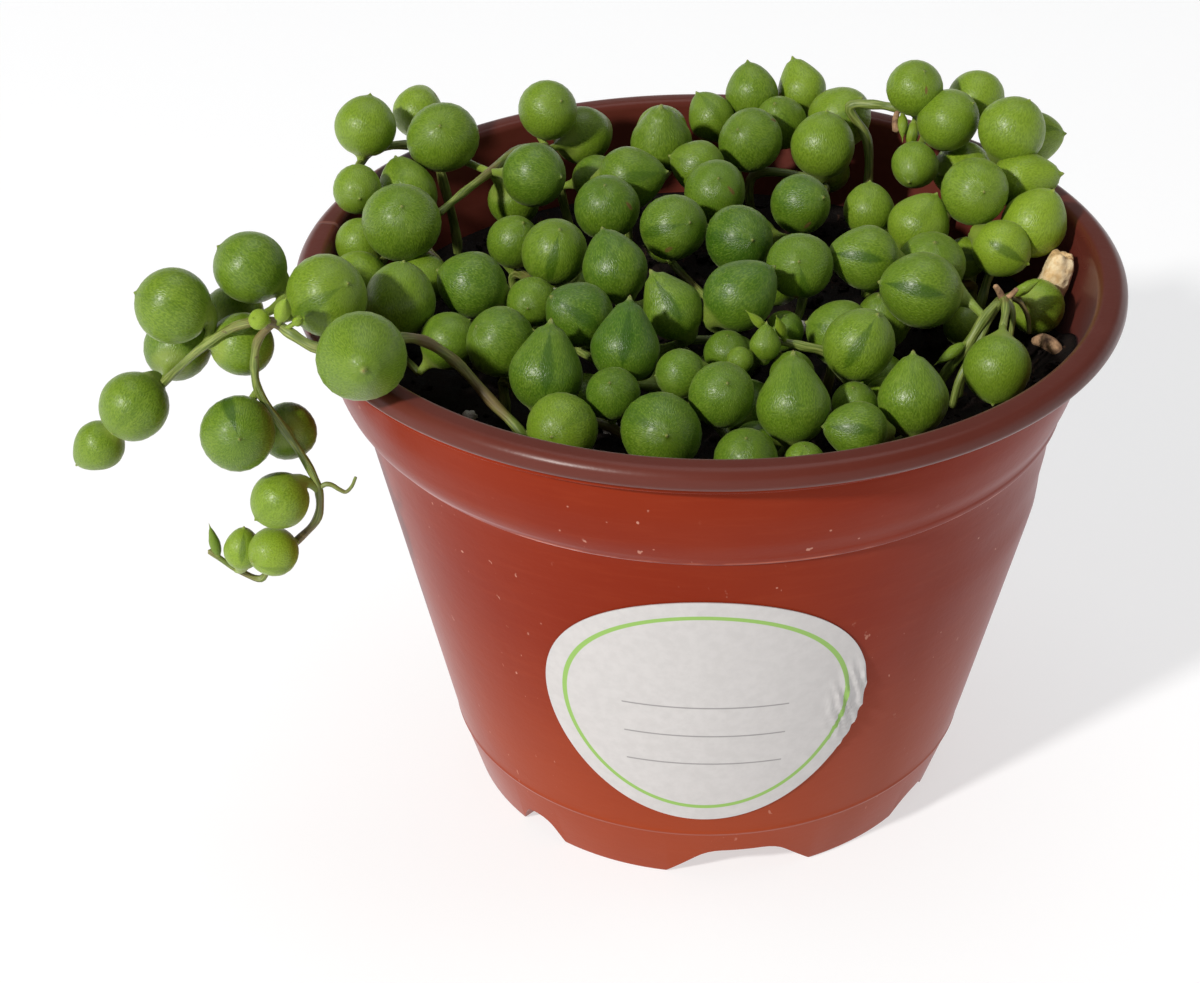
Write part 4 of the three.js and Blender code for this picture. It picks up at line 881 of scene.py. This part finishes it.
def add_leaf(sheet, start, at, r, slender, tint, seed, tip_length, draw, way=None, look=None):
    """A pearl or bud: a stalk that bends and widens into a round body with a pointed tip, slightly uneven."""
    start, at = Vector(start), Vector(at)
    way = way or (at - start).normalized()
    toward = LOOK_FROM + Vector([draw(-WANDER, WANDER) for _ in range(3)])
    pointed = min(1.0, 2 * slender) if r < BUD else draw(0, 1) ** 2
    window = draw(0, 1) ** 2 * DARKEST
    if look:
        toward, pointed, window = Vector(CAMERA_AT) - at, look[2], look[3]
    front = (toward - way * toward.dot(way)).normalized()
    rings, top = body_profile(r, slender + 0.04 * pointed, pointed, tip_length * (1 + 2 * pointed))
    joint = at + way * rings[0][0]
    bend = joint - way * STALK_BEND * (joint - start).length
    offset = Vector([draw(0, 90) for _ in range(3)])
    squeeze = draw(-SQUEEZE, SQUEEZE)

    def ring_at(middle, forward, radius):
        """A ring of points around the leaf's middle line. The window is on the side where u is 0.5."""
        ahead = (front - forward * front.dot(forward)).normalized()
        other = forward.cross(ahead)
        body = r * min(1.0, radius / r)
        ring = []
        for angle in circle(AROUND):
            out = -ahead * math.cos(angle) * (1 + squeeze) - other * math.sin(angle) * (1 - squeeze)
            place = middle + out * radius
            uneven = noise.noise((place - at) / r * UNEVEN_SCALE + offset) * UNEVEN
            crease = CREASE * window * math.exp(-((angle - math.pi) / CREASE_WIDTH) ** 2)
            ring.append(place + out * body * (uneven - crease))
        return ring

    neck = neck_of(r)
    made = [(0.0, [start + (start - bend).normalized() * STALK_SUNK])]
    for k in range(STALK_RINGS):
        t = k / STALK_RINGS
        middle = start * (1 - t) ** 2 + bend * 2 * t * (1 - t) + joint * t * t
        forward = ((bend - start) * (1 - t) + (joint - bend) * t).normalized()
        made.append((FOOT_V * t, ring_at(middle, forward, neck + (rings[0][1] - neck) * t ** 3)))
    for height, radius, v in rings:
        made.append((v, ring_at(at + way * height, way, radius)))
    made.append((1.0, [at + way * top]))
    sheet.tube(made, (tint, seed, window))


def tip_room(pearl, way, balls, wanted):
    """How long a pearl's point may be before it meets another pearl or the pot."""
    length = wanted
    while length > TIP_CUT * wanted:
        end = Vector(pearl.at) + way * (pearl.r + length)
        kept = list(end)
        keep_in_pot(kept, TIP_AIR)
        clear = all(other is pearl or (Vector(other.at) - end).length > other.r + TIP_GAP
                    for other in balls)
        if clear and math.dist(kept, end) < 1e-6:
            break
        length -= TIP_STEP
    return max(length, STUB)


def tint_of(strand, pearl, draw):
    """Old pearls in the middle and front are deep green; new, hanging and outer ones are yellower, and the
    lowest hanging ones yellower still, a painted glow of light shining through them.
    """
    x, y, z = pearl.at
    right, left, back = (max(0, c) ** 1.5 for c in (x / 40, -x / 40, y / 42))
    if strand.name == "trailing":
        # Under LOW_FROM the tint is raised to paint the glow of light shining through the hanging pearls
        return (HANGING_TINT if z > LOW_FROM else LOW_TINT) + draw(*TINT_SPREAD)
    outer = MOUND_TINT + RIGHT_TINT * right + SIDE_TINT * left + SIDE_TINT * back
    return max(0.0, min(1.0, outer + max(0, SMALL - pearl.r) * SMALL_TINT + draw(*TINT_SPREAD)))


def make_strands(materials):
    strands = plan_strands()
    settle(strands)
    balls = [pearl for strand in strands for pearl in strand.pearls]
    draw = seeded(LOOK_SEED)
    for strand in strands:
        sheet = Sheet()
        for number, route in enumerate(strand.routes):
            def radius_at(share, steps=len(route) - 1, thick=BRANCH if number else MAIN_STEM):
                swelling = SWELLING * math.cos(2 * math.pi * share * steps)
                taper = TAPER * max(0, share - TAPER_FROM) / (1 - TAPER_FROM)
                return STEM * thick * (1 + swelling) * (1 - taper)
            add_stem(sheet, smooth_line([strand.nodes[k] for k in route]), radius_at, 1, STEM_SIDES)
        for pearl in strand.pearls:
            way = tip_way(pearl)
            tip = tip_room(pearl, way, balls, LEAST_TIP + TIP_SHARE * pearl.r)
            add_leaf(sheet, strand.nodes[pearl.node], pearl.at, pearl.r * FULLER, 0.0,
                     tint_of(strand, pearl, draw), draw(0, 1), tip, draw, way, pearl.look)
        for start, at, r, slender, tint in BUDS.get(strand.name, []):
            add_leaf(sheet, start, at, r, slender, tint, draw(*BUD_SEEDS), BUD_TIP, draw)
        for points, thick, thin, slot in SHOOTS.get(strand.name, []):
            add_stem(sheet, smooth_line(points),
                     lambda share, thick=thick, thin=thin: thick + (thin - thick) * share, slot)
        settled_in(sheet.piece(strand.name + "_leaves", materials), "plant", strand.name)


# ---------- Pot ----------

POT_AROUND, DRAIN_AROUND = 240, 32
SKIRT_UNDER = 74.5
STEP_RADIUS, STEP_HEIGHT = 47.0, 60.3
BASE_LINE_RADIUS, BASE_LINE_HEIGHT, BEAD = 35.4, 9.5, 0.07
FOOT_RADIUS, FOOT_RING = 32.6, 2.0
WALL = 1.3
FLOOR_UNDER, FLOOR_TOP = 6.3, 7.7
MIDDLE_DISC = 12.0
DRAIN_RADIUS, DRAIN_CIRCLE, DRAIN_LENGTH = 2.6, 22.0, 5
NOTCH_TAPER = 0.47
NOTCH_DEPTHS = (24, 38)
SHARP_EDGE = math.radians(38)
# The scallops in the foot ring: degrees anticlockwise from the front, degrees of width, and height
NOTCHES = [(10, 36, 5.3), (61, 17, 2.8), (129, 23, 3.9), (189.5, 35, 5.2), (249, 23, 3.9), (319, 14.5, 3.9)]
# How far the wall bulges at the right, and the collar's outside sits to the left, as (height, amount)
BULGE = ((0, 1.2), (15, 1.5), (45, 1.5), (52, 0.6), (58, 0))
COLLAR_SHIFT = ((STEP_HEIGHT, 0), (62, 0.65), (73, 0.65), (SKIRT_UNDER, 0))
INNER_FLOOR_RADIUS = FOOT_RADIUS + (BASE_LINE_RADIUS - FOOT_RADIUS) * FLOOR_TOP / BASE_LINE_HEIGHT - WALL
WALL_TOP = (STEP_RADIUS - 0.5, STEP_HEIGHT - 0.5)  # where the straight wall ends, under the step
INSIDE_TOP = (WALL_TOP[0] - WALL, STEP_HEIGHT - 1)
WALL_FOOT = WALL_TOP[0] - BASE_LINE_RADIUS
WALL_RISE = WALL_TOP[1] - BASE_LINE_HEIGHT


def outer_wall(z):
    """The straight wall's radius at a height."""
    return BASE_LINE_RADIUS + (z - BASE_LINE_HEIGHT) * WALL_FOOT / WALL_RISE


def inside_wall(z):
    """The radius inside the straight wall at a height."""
    share = (z - FLOOR_TOP) / (INSIDE_TOP[1] - FLOOR_TOP)
    return INNER_FLOOR_RADIUS + (INSIDE_TOP[0] - INNER_FLOOR_RADIUS) * share


def outer_foot(z):
    """The foot's radius at a height, under the base line."""
    return FOOT_RADIUS + (BASE_LINE_RADIUS - FOOT_RADIUS) * z / BASE_LINE_HEIGHT


def at_height_of(pairs, z):
    """A value at a height, easing from one (height, value) pair to the next."""
    for (z0, a), (z1, b) in zip(pairs, pairs[1:]):
        if z < z1:
            return a + (b - a) * eased((z - z0) / (z1 - z0))
    return pairs[-1][1]


def given_way(place):
    """A place moved with the pot's soft wall: out at the right, and the collar's outside to the left."""
    x, y, z = place
    rho = math.hypot(x, y)
    right = (max(0, x) / max(rho, FOOT_RADIUS)) ** 4
    out = 1 + at_height_of(BULGE, z) * right / max(rho, 1)
    outside = rho > inner_radius(z) + WALL / 2
    return (x * out - (at_height_of(COLLAR_SHIFT, z) if outside else 0), y * out, z)


def rounded(corner, before, after, radius, steps=4):
    """A corner's points, rounded with about that radius."""
    corner, before, after = Vector(corner), Vector(before), Vector(after)
    start = corner + (before - corner).normalized() * radius
    end = corner + (after - corner).normalized() * radius
    return [tuple((1 - t) ** 2 * start + 2 * t * (1 - t) * corner + t * t * end)
            for t in (k / steps for k in range(steps + 1))]


def softened(outline):
    """An outline of (radius, height, rounding) points with its corners rounded."""
    points = [outline[0][:2]]
    for before, here, after in zip(outline, outline[1:], outline[2:]):
        points += rounded(here[:2], before[:2], after[:2], here[2]) if here[2] else [here[:2]]
    return points + [outline[-1][:2]]


def pot_outline():
    """From the middle of the underside, up the outside, over the rim and down the inside."""
    ring, line, low = FOOT_RADIUS - FOOT_RING, BASE_LINE_RADIUS + BEAD, BASE_LINE_HEIGHT
    return softened([
        (0, 0, 0), (MIDDLE_DISC, 0, 0.3), (MIDDLE_DISC + 0.8, FLOOR_UNDER, 0.4),
        (ring, FLOOR_UNDER, 0.4), (ring, 0, 0.3), (FOOT_RADIUS, 0, 0.45),
        (outer_foot(low - 0.7), low - 0.7, 0.1), (line, low - 0.25, 0.12), (line, low + 0.25, 0.12),
        (outer_wall(low + 0.9), low + 0.9, 0.2),
        *((outer_wall(z), z, 0) for z in range(12, 60, 2)), (*WALL_TOP, 0.1),
        (STEP_RADIUS - 0.02, STEP_HEIGHT - 0.12, 0.08), (STEP_RADIUS + 0.05, STEP_HEIGHT, 0.1),
        (47.55, 61.2, 0.3), (48.7, 63.6, 1.2), (50.1, 68.2, 1.6), (50.8, 72, 0.5), (50.9, 73.2, 0.1),
        (52.3, 73.4, 0.15), (52.4, SKIRT_UNDER, 0.05), (RIM_OUTER - 0.5, SKIRT_UNDER, 0.2),
        (RIM_OUTER, SKIRT_UNDER + 0.6, 0.4), (RIM_OUTER - 0.1, RIM_TOP - 0.9, 0.5),
        (RIM_OUTER - 1, RIM_TOP, 0.6), (RIM_INNER + 0.6, RIM_TOP, 0.4), (RIM_INNER, RIM_TOP - 0.6, 0.4),
        (inner_radius(SOIL_TOP), SOIL_TOP, 0), (*INSIDE_TOP, 0.6),
        *((inside_wall(z), z, 0) for z in (56, 52, 48, 44, 30, 15)),
        (INNER_FLOOR_RADIUS, FLOOR_TOP, 0.8), (0, FLOOR_TOP, 0)])


def turned(sheet, outline, around):
    """Turns an outline around +Z."""
    def ring(r, z):
        return [given_way((r * math.sin(a), -r * math.cos(a), z)) for a in circle(around if r else 1)]
    sheet.tube([(None, ring(r, z)) for r, z in outline])


def prism(name, outline, depth, place):
    """A bar that cuts a hole: an outline of (x, z) points, along Y for a depth, moved by a matrix."""
    sheet = Sheet()
    sheet.tube([(None, [place @ Vector((x, y, z)) for x, z in outline]) for y in (-depth, 0)])
    count = len(outline)
    sheet.face(list(range(count)))
    sheet.face(list(range(2 * count - 1, count - 1, -1)))
    return sheet.piece(name, [], smooth=False)


def make_cutters():
    cutters = []
    near, far = NOTCH_DEPTHS
    for k, (turn, width, height) in enumerate(NOTCHES):
        place = Matrix.Rotation(math.radians(turn), 4, "Z")
        foot = FOOT_RADIUS * math.sin(math.radians(width / 2))
        top = foot * NOTCH_TAPER
        flare = foot + (foot - top) / height
        shoulder = min(2, top * 0.9)
        half = [(top, height, shoulder), (foot, 0, 0.5), (flare, -1, 0)]
        outline = softened([(-x, z, soft) for x, z, soft in half[::-1]] + half)
        from_middle = place @ Matrix.Translation((0, -near, 0))
        cutters.append(prism(f"notch_{k}", outline[::-1], far - near, from_middle))
        drain = [(DRAIN_RADIUS * math.cos(a), DRAIN_RADIUS * math.sin(a)) for a in circle(DRAIN_AROUND)]
        on_floor = place @ Matrix.Translation((0, -DRAIN_CIRCLE, FLOOR_UNDER - 2))
        upright = on_floor @ Matrix.Rotation(-math.pi / 2, 4, "X")
        cutters.append(prism(f"drain_{k}", drain, DRAIN_LENGTH, upright))
    return cutters


def make_pot(wall, rim):
    sheet = Sheet()
    outline = pot_outline()
    turned(sheet, outline, POT_AROUND)
    rim_from = next(k for k, (_, z) in enumerate(outline) if z > SKIRT_UNDER + 0.05)
    sheet.slots = [int(k // POT_AROUND >= rim_from) for k in range(len(sheet.faces))]
    pot = sheet.piece("pot_shell", [wall, rim])
    for cutter in make_cutters():
        cut = pot.modifiers.new("cut", "BOOLEAN")
        cut.object, cut.operation, cut.solver = cutter, "DIFFERENCE", "EXACT"
        bpy.context.view_layer.objects.active = pot
        bpy.ops.object.modifier_apply(modifier=cut.name)
        bpy.data.objects.remove(cutter)
    pot.data.set_sharp_from_angle(angle=SHARP_EDGE)
    settled_in(pot, "pot", "pot")


# ---------- Soil ----------

STONE_CENTRE = (45.6, 6.4, 70.5)
STONE_HALF = (1.9, 2.5, 5.0)
STONE_LEAN, STONE_ROUGH, STONE_CUT = 0.3, 0.12, 0.93
STONE_DENTS = ((0.9, 0.08), (2.2, 0.04))  # how fine, and how deep
HEAP, SOIL_RELIEF = 1.6, 1.1
BANK, BANK_WIDTH = 5.0, 6.0
BANK_FROM, BANK_TO, BANK_FADE = -60, 8, 16  # degrees anticlockwise from the right
CLEAR = 0.3  # between soil and pot
SOIL_RINGS, SOIL_AROUND = 60, 220
CRUMBS, CRUMB_MIN, CRUMB_MAX = 900, 0.35, 1.35
CRUMB_WIDE, CRUMB_HIGH, CRUMB_TILT = (0.55, 1), (0.4, 0.8), (-0.5, 0.5)
CRUMB_ROUGH, GRAIN_ROUGH, LUMP_SCALE = 0.7, 0.5, 1.7
ANY_TURN = (0, 6.28)  # radians
CRUMB_SEED = 5
EDGE_FLAT = 1.5  # the soil's relief fades towards the wall over this
PERLITE = [  # x, y and radius
    (11.9, 3.8, 1.5), (-12, -22, 1.2), (36, -28, 1.1), (42, -17, 0.8), (-30, -20, 1.0), (24, 30, 1.3),
    (-8, 34, 1.2), (43, 15, 0.9)]
BARK_AT, BARK = (44.2, -6), ((-1.6, 2.2, 0.6), (-0.6, 1, 1.3), (0.6, -0.4, 1.2), (1.6, -1.6, 0.4))
BARK_END, BARK_SWELL = 0.55, 0.5  # its radius at the ends, and what the middle adds


def soil_height(x, y):
    rolling = math.sin(0.31 * x + 1.3) * math.cos(0.27 * y - 0.6)
    crumbs = math.sin(1.7 * x + 0.9 * y) * math.sin(1.3 * y - 0.8 * x)
    heap = HEAP * math.exp(-((x - STONE_CENTRE[0] + 1.5) ** 2 + (y - STONE_CENTRE[1]) ** 2) / 18)
    return SOIL_TOP + heap - SOIL_RELIEF * (0.5 + 0.3 * rolling + 0.2 * crumbs)


def soil_bank(x, y):
    """Soil heaped against the wall at the right, where it is bare."""
    turn = math.degrees(math.atan2(y, x))
    along = min(eased((turn - BANK_FROM) / BANK_FADE), eased((BANK_TO - turn) / BANK_FADE))
    return BANK * along * eased((math.hypot(x, y) - inner_radius(SOIL_TOP) + CLEAR + BANK_WIDTH) / BANK_WIDTH)


def fine_soil_height(x, y):
    lumps = noise.noise(Vector((x * 0.45, y * 0.45, 3.1))) * 0.55
    grains = noise.noise(Vector((x * 1.3, y * 1.3, 8.7))) * 0.35
    return soil_height(x, y) + (lumps + grains) + soil_bank(x, y)


def lump(sheet, centre, sizes, turn, rough, offset, rings=5, around=7):
    """A small uneven lump."""
    made = []
    for k in range(rings + 1):
        angle = math.pi * k / rings
        ring = []
        for a in circle(1 if k in (0, rings) else around):
            out = Vector((math.sin(angle) * math.cos(a), math.sin(angle) * math.sin(a), math.cos(angle)))
            out *= 1 + rough * noise.noise(out * LUMP_SCALE + offset)
            ring.append(Vector(centre) + turn @ Vector([c * size for c, size in zip(out, sizes)]))
        made.append((k / rings, ring))
    sheet.tube(made)


def make_soil(peat, grit):
    side = inner_radius(SOIL_TOP) - CLEAR
    sheet = Sheet()
    outline = [(0, FLOOR_TOP + CLEAR), (INNER_FLOOR_RADIUS - CLEAR, FLOOR_TOP + CLEAR),
               *((inside_wall(z) - CLEAR, z) for z in (15, 30, 44, 48, 52, 56)),
               (INSIDE_TOP[0] - CLEAR, INSIDE_TOP[1])]
    outline += [(side * ring / SOIL_RINGS, SOIL_TOP) for ring in range(SOIL_RINGS, -1, -1)]
    turned(sheet, outline, SOIL_AROUND)
    for k, (x, y, z) in enumerate(sheet.points):
        rho = math.hypot(x, y)
        if z > SOIL_TOP - 0.01 and rho > 0.01:
            edge, bank = min(1, (side - rho) / EDGE_FLAT), soil_bank(x, y)
            out = 1 + WALL_LEAN * bank / side * (rho / side) ** 8
            relief = (fine_soil_height(x, y) - bank - SOIL_TOP) * edge
            sheet.points[k] = (x * out, y * out, SOIL_TOP + relief + bank)
    settled_in(sheet.piece("soil_bed", [peat]), "soil", "soil")

    draw = seeded(CRUMB_SEED)
    crumbs = Sheet()
    for _ in range(CRUMBS):
        rho, a = (side - 1.2) * math.sqrt(draw(0, 1)), draw(0, 2 * math.pi)
        x, y = rho * math.cos(a), rho * math.sin(a)
        size = CRUMB_MIN + (CRUMB_MAX - CRUMB_MIN) * draw(0, 1) ** 3
        sizes = (size, size * draw(*CRUMB_WIDE), size * draw(*CRUMB_HIGH))
        turn = Matrix.Rotation(draw(*ANY_TURN), 3, "Z") @ Matrix.Rotation(draw(*CRUMB_TILT), 3, "X")
        place = (x, y, fine_soil_height(x, y) + sizes[2] * 0.3)
        lump(crumbs, place, sizes, turn, CRUMB_ROUGH, Vector((draw(0, 50), draw(0, 50), 0)))
    settled_in(crumbs.piece("soil_crumbs", [peat], smooth=False), "soil")

    grains = Sheet()
    for x, y, r in PERLITE:
        turn = Matrix.Rotation(draw(*ANY_TURN), 3, "Z")
        lump(grains, (x, y, fine_soil_height(x, y) + r * 0.45), (r, r * 0.8, r * 0.75), turn, GRAIN_ROUGH,
             Vector((draw(0, 50), 0, 0)), rings=8, around=12)
    settled_in(grains.piece("perlite", [grit]), "soil")


def make_bark(dry):
    """A curled chip of bark that lies on the soil by the wall."""
    sheet = Sheet()
    ground = Vector((*BARK_AT, fine_soil_height(*BARK_AT)))
    points = [ground + Vector(p) for p in BARK]
    add_stem(sheet, smooth_line(points, 5),
             lambda share: BARK_END + BARK_SWELL * math.sin(math.pi * share), 0)
    settled_in(sheet.piece("bark_chip", [dry]), "soil")


# ---------- Label and stone ----------

LABEL_RADIUS, LABEL_HEIGHT = 21.0, 33.0
LABEL_TURN = 0.8  # degrees anticlockwise from the front
LABEL_RINGS, LABEL_AROUND = 60, 160
LABEL_AIR, PAPER = 0.04, 0.16
RING_RADIUS = 18.3  # of the printed ring
RULE_HEIGHTS, RULE_HALF = (1.5, -4.0, -9.5), 10.5  # the ruled lines, from the label's middle
CREASED_AT, CREASED_TALL, CREASED_REACH = (19.2, -1), 0.42, 4.2
CREASE_HEIGHT = 0.4
LABEL_EDGE = math.radians(50)


def wrinkle(x, y):
    """The paper stands off the wall in short ridges along its right-hand edge."""
    inward = 1 - math.hypot(x - CREASED_AT[0], (y - CREASED_AT[1]) * CREASED_TALL) / CREASED_REACH
    if inward <= 0:
        return 0.0
    ridges = 0.5 + 0.5 * math.sin(4.4 * x + 1.5 * y + 2.2 * noise.noise(Vector((x * 0.6, y * 0.4, 2))))
    return CREASE_HEIGHT * min(1, inward * 1.8) * ridges ** 1.5


def on_wall(across, up, off):
    """A place on the pot's straight wall, from millimetres across and up the label and off the wall."""
    lean = math.atan2(WALL_FOOT, WALL_RISE)
    z = LABEL_HEIGHT + up * math.cos(lean)
    angle = math.radians(LABEL_TURN) + across / outer_wall(LABEL_HEIGHT)
    radius = outer_wall(z) + off / math.cos(lean)
    return given_way((radius * math.sin(angle), -radius * math.cos(angle), z))


def make_label(paper):
    sheet, rings, flat, steps = Sheet(), [], [], range(LABEL_RINGS + 1)
    for off, k in [(LABEL_AIR + PAPER, k) for k in steps] + [(LABEL_AIR, k) for k in reversed(steps)]:
        r = LABEL_RADIUS * k / LABEL_RINGS
        ring = [(r * math.cos(a), r * math.sin(a)) for a in circle(LABEL_AROUND if k else 1)]
        rings.append((0, [on_wall(x, y, off + wrinkle(x, y)) for x, y in ring]))
        flat += ring
    sheet.tube(rings)
    sheet.corners = [flat[point] for face in sheet.faces for point in face]
    label = sheet.piece("round_label", [paper], uv_name="label_mm")
    label.data.set_sharp_from_angle(angle=LABEL_EDGE)
    settled_in(label, "label", "label")


def make_stone(grit):
    sheet = Sheet()
    turn = Matrix.Rotation(STONE_LEAN, 3, "Y")
    lump(sheet, STONE_CENTRE, STONE_HALF, turn, STONE_ROUGH, Vector((4, 9, 2)), rings=22, around=30)
    centre = Vector(STONE_CENTRE)
    for k, p in enumerate(sheet.points):
        out = Vector(p) - centre
        flat = turn.inverted() @ out
        shares = [c / h for c, h in zip(flat, STONE_HALF)]
        blocky = math.hypot(*shares) / sum(c ** 4 for c in shares) ** 0.25
        dents = sum(noise.noise(out * fine) * deep for fine, deep in STONE_DENTS)
        sheet.points[k] = tuple(centre + out * (STONE_CUT - dents) * blocky)
    settled_in(sheet.piece("pebble", [grit]), "stone", "stone")


# ---------- Floor ----------

FLOOR_FLAT = 1700  # the flat floor's radius; beyond it the floor curves up into a low wall
COVE, COVE_STEPS, COVE_TOP = 300, 12, 600
FLOOR_DROP = 0.05
FLOOR_GLOW = 0.6  # the floor's own light, which keeps it pale and the shadow on it light


def make_floor():
    sheet = Sheet()
    turns = [math.pi / 2 * k / COVE_STEPS for k in range(COVE_STEPS + 1)]
    sweep = [(FLOOR_FLAT + COVE * math.sin(a), COVE * (1 - math.cos(a)) - FLOOR_DROP) for a in turns]
    turned(sheet, [(0, -FLOOR_DROP), *sweep, (FLOOR_FLAT + COVE, COVE_TOP)], 96)
    sheet.piece("studio_floor", [floor_material()])


# ---------- Assembly ----------

make_stage()
dry = dry_material()
make_strands([pearl_material(), stem_material(), dry])
make_pot(
    plastic_material("terracotta_plastic", rgb(120, 32, 5), rgb(164, 76, 44), rgb(214, 162, 142),
                     roughness=0.36, lustre=0.07, bloom=0.5),
    plastic_material("brown_plastic", rgb(86, 37, 28), rgb(116, 66, 58), rgb(138, 92, 82),
                     roughness=0.3, lustre=0.2, bloom=0.15))
make_soil(soil_material(), grit_material("perlite_grain", rgb(224, 220, 212), rgb(188, 178, 164), 500))
make_bark(dry)
make_label(label_material())
make_stone(grit_material("sandstone", rgb(244, 226, 188), rgb(206, 170, 118), 210))
make_floor()
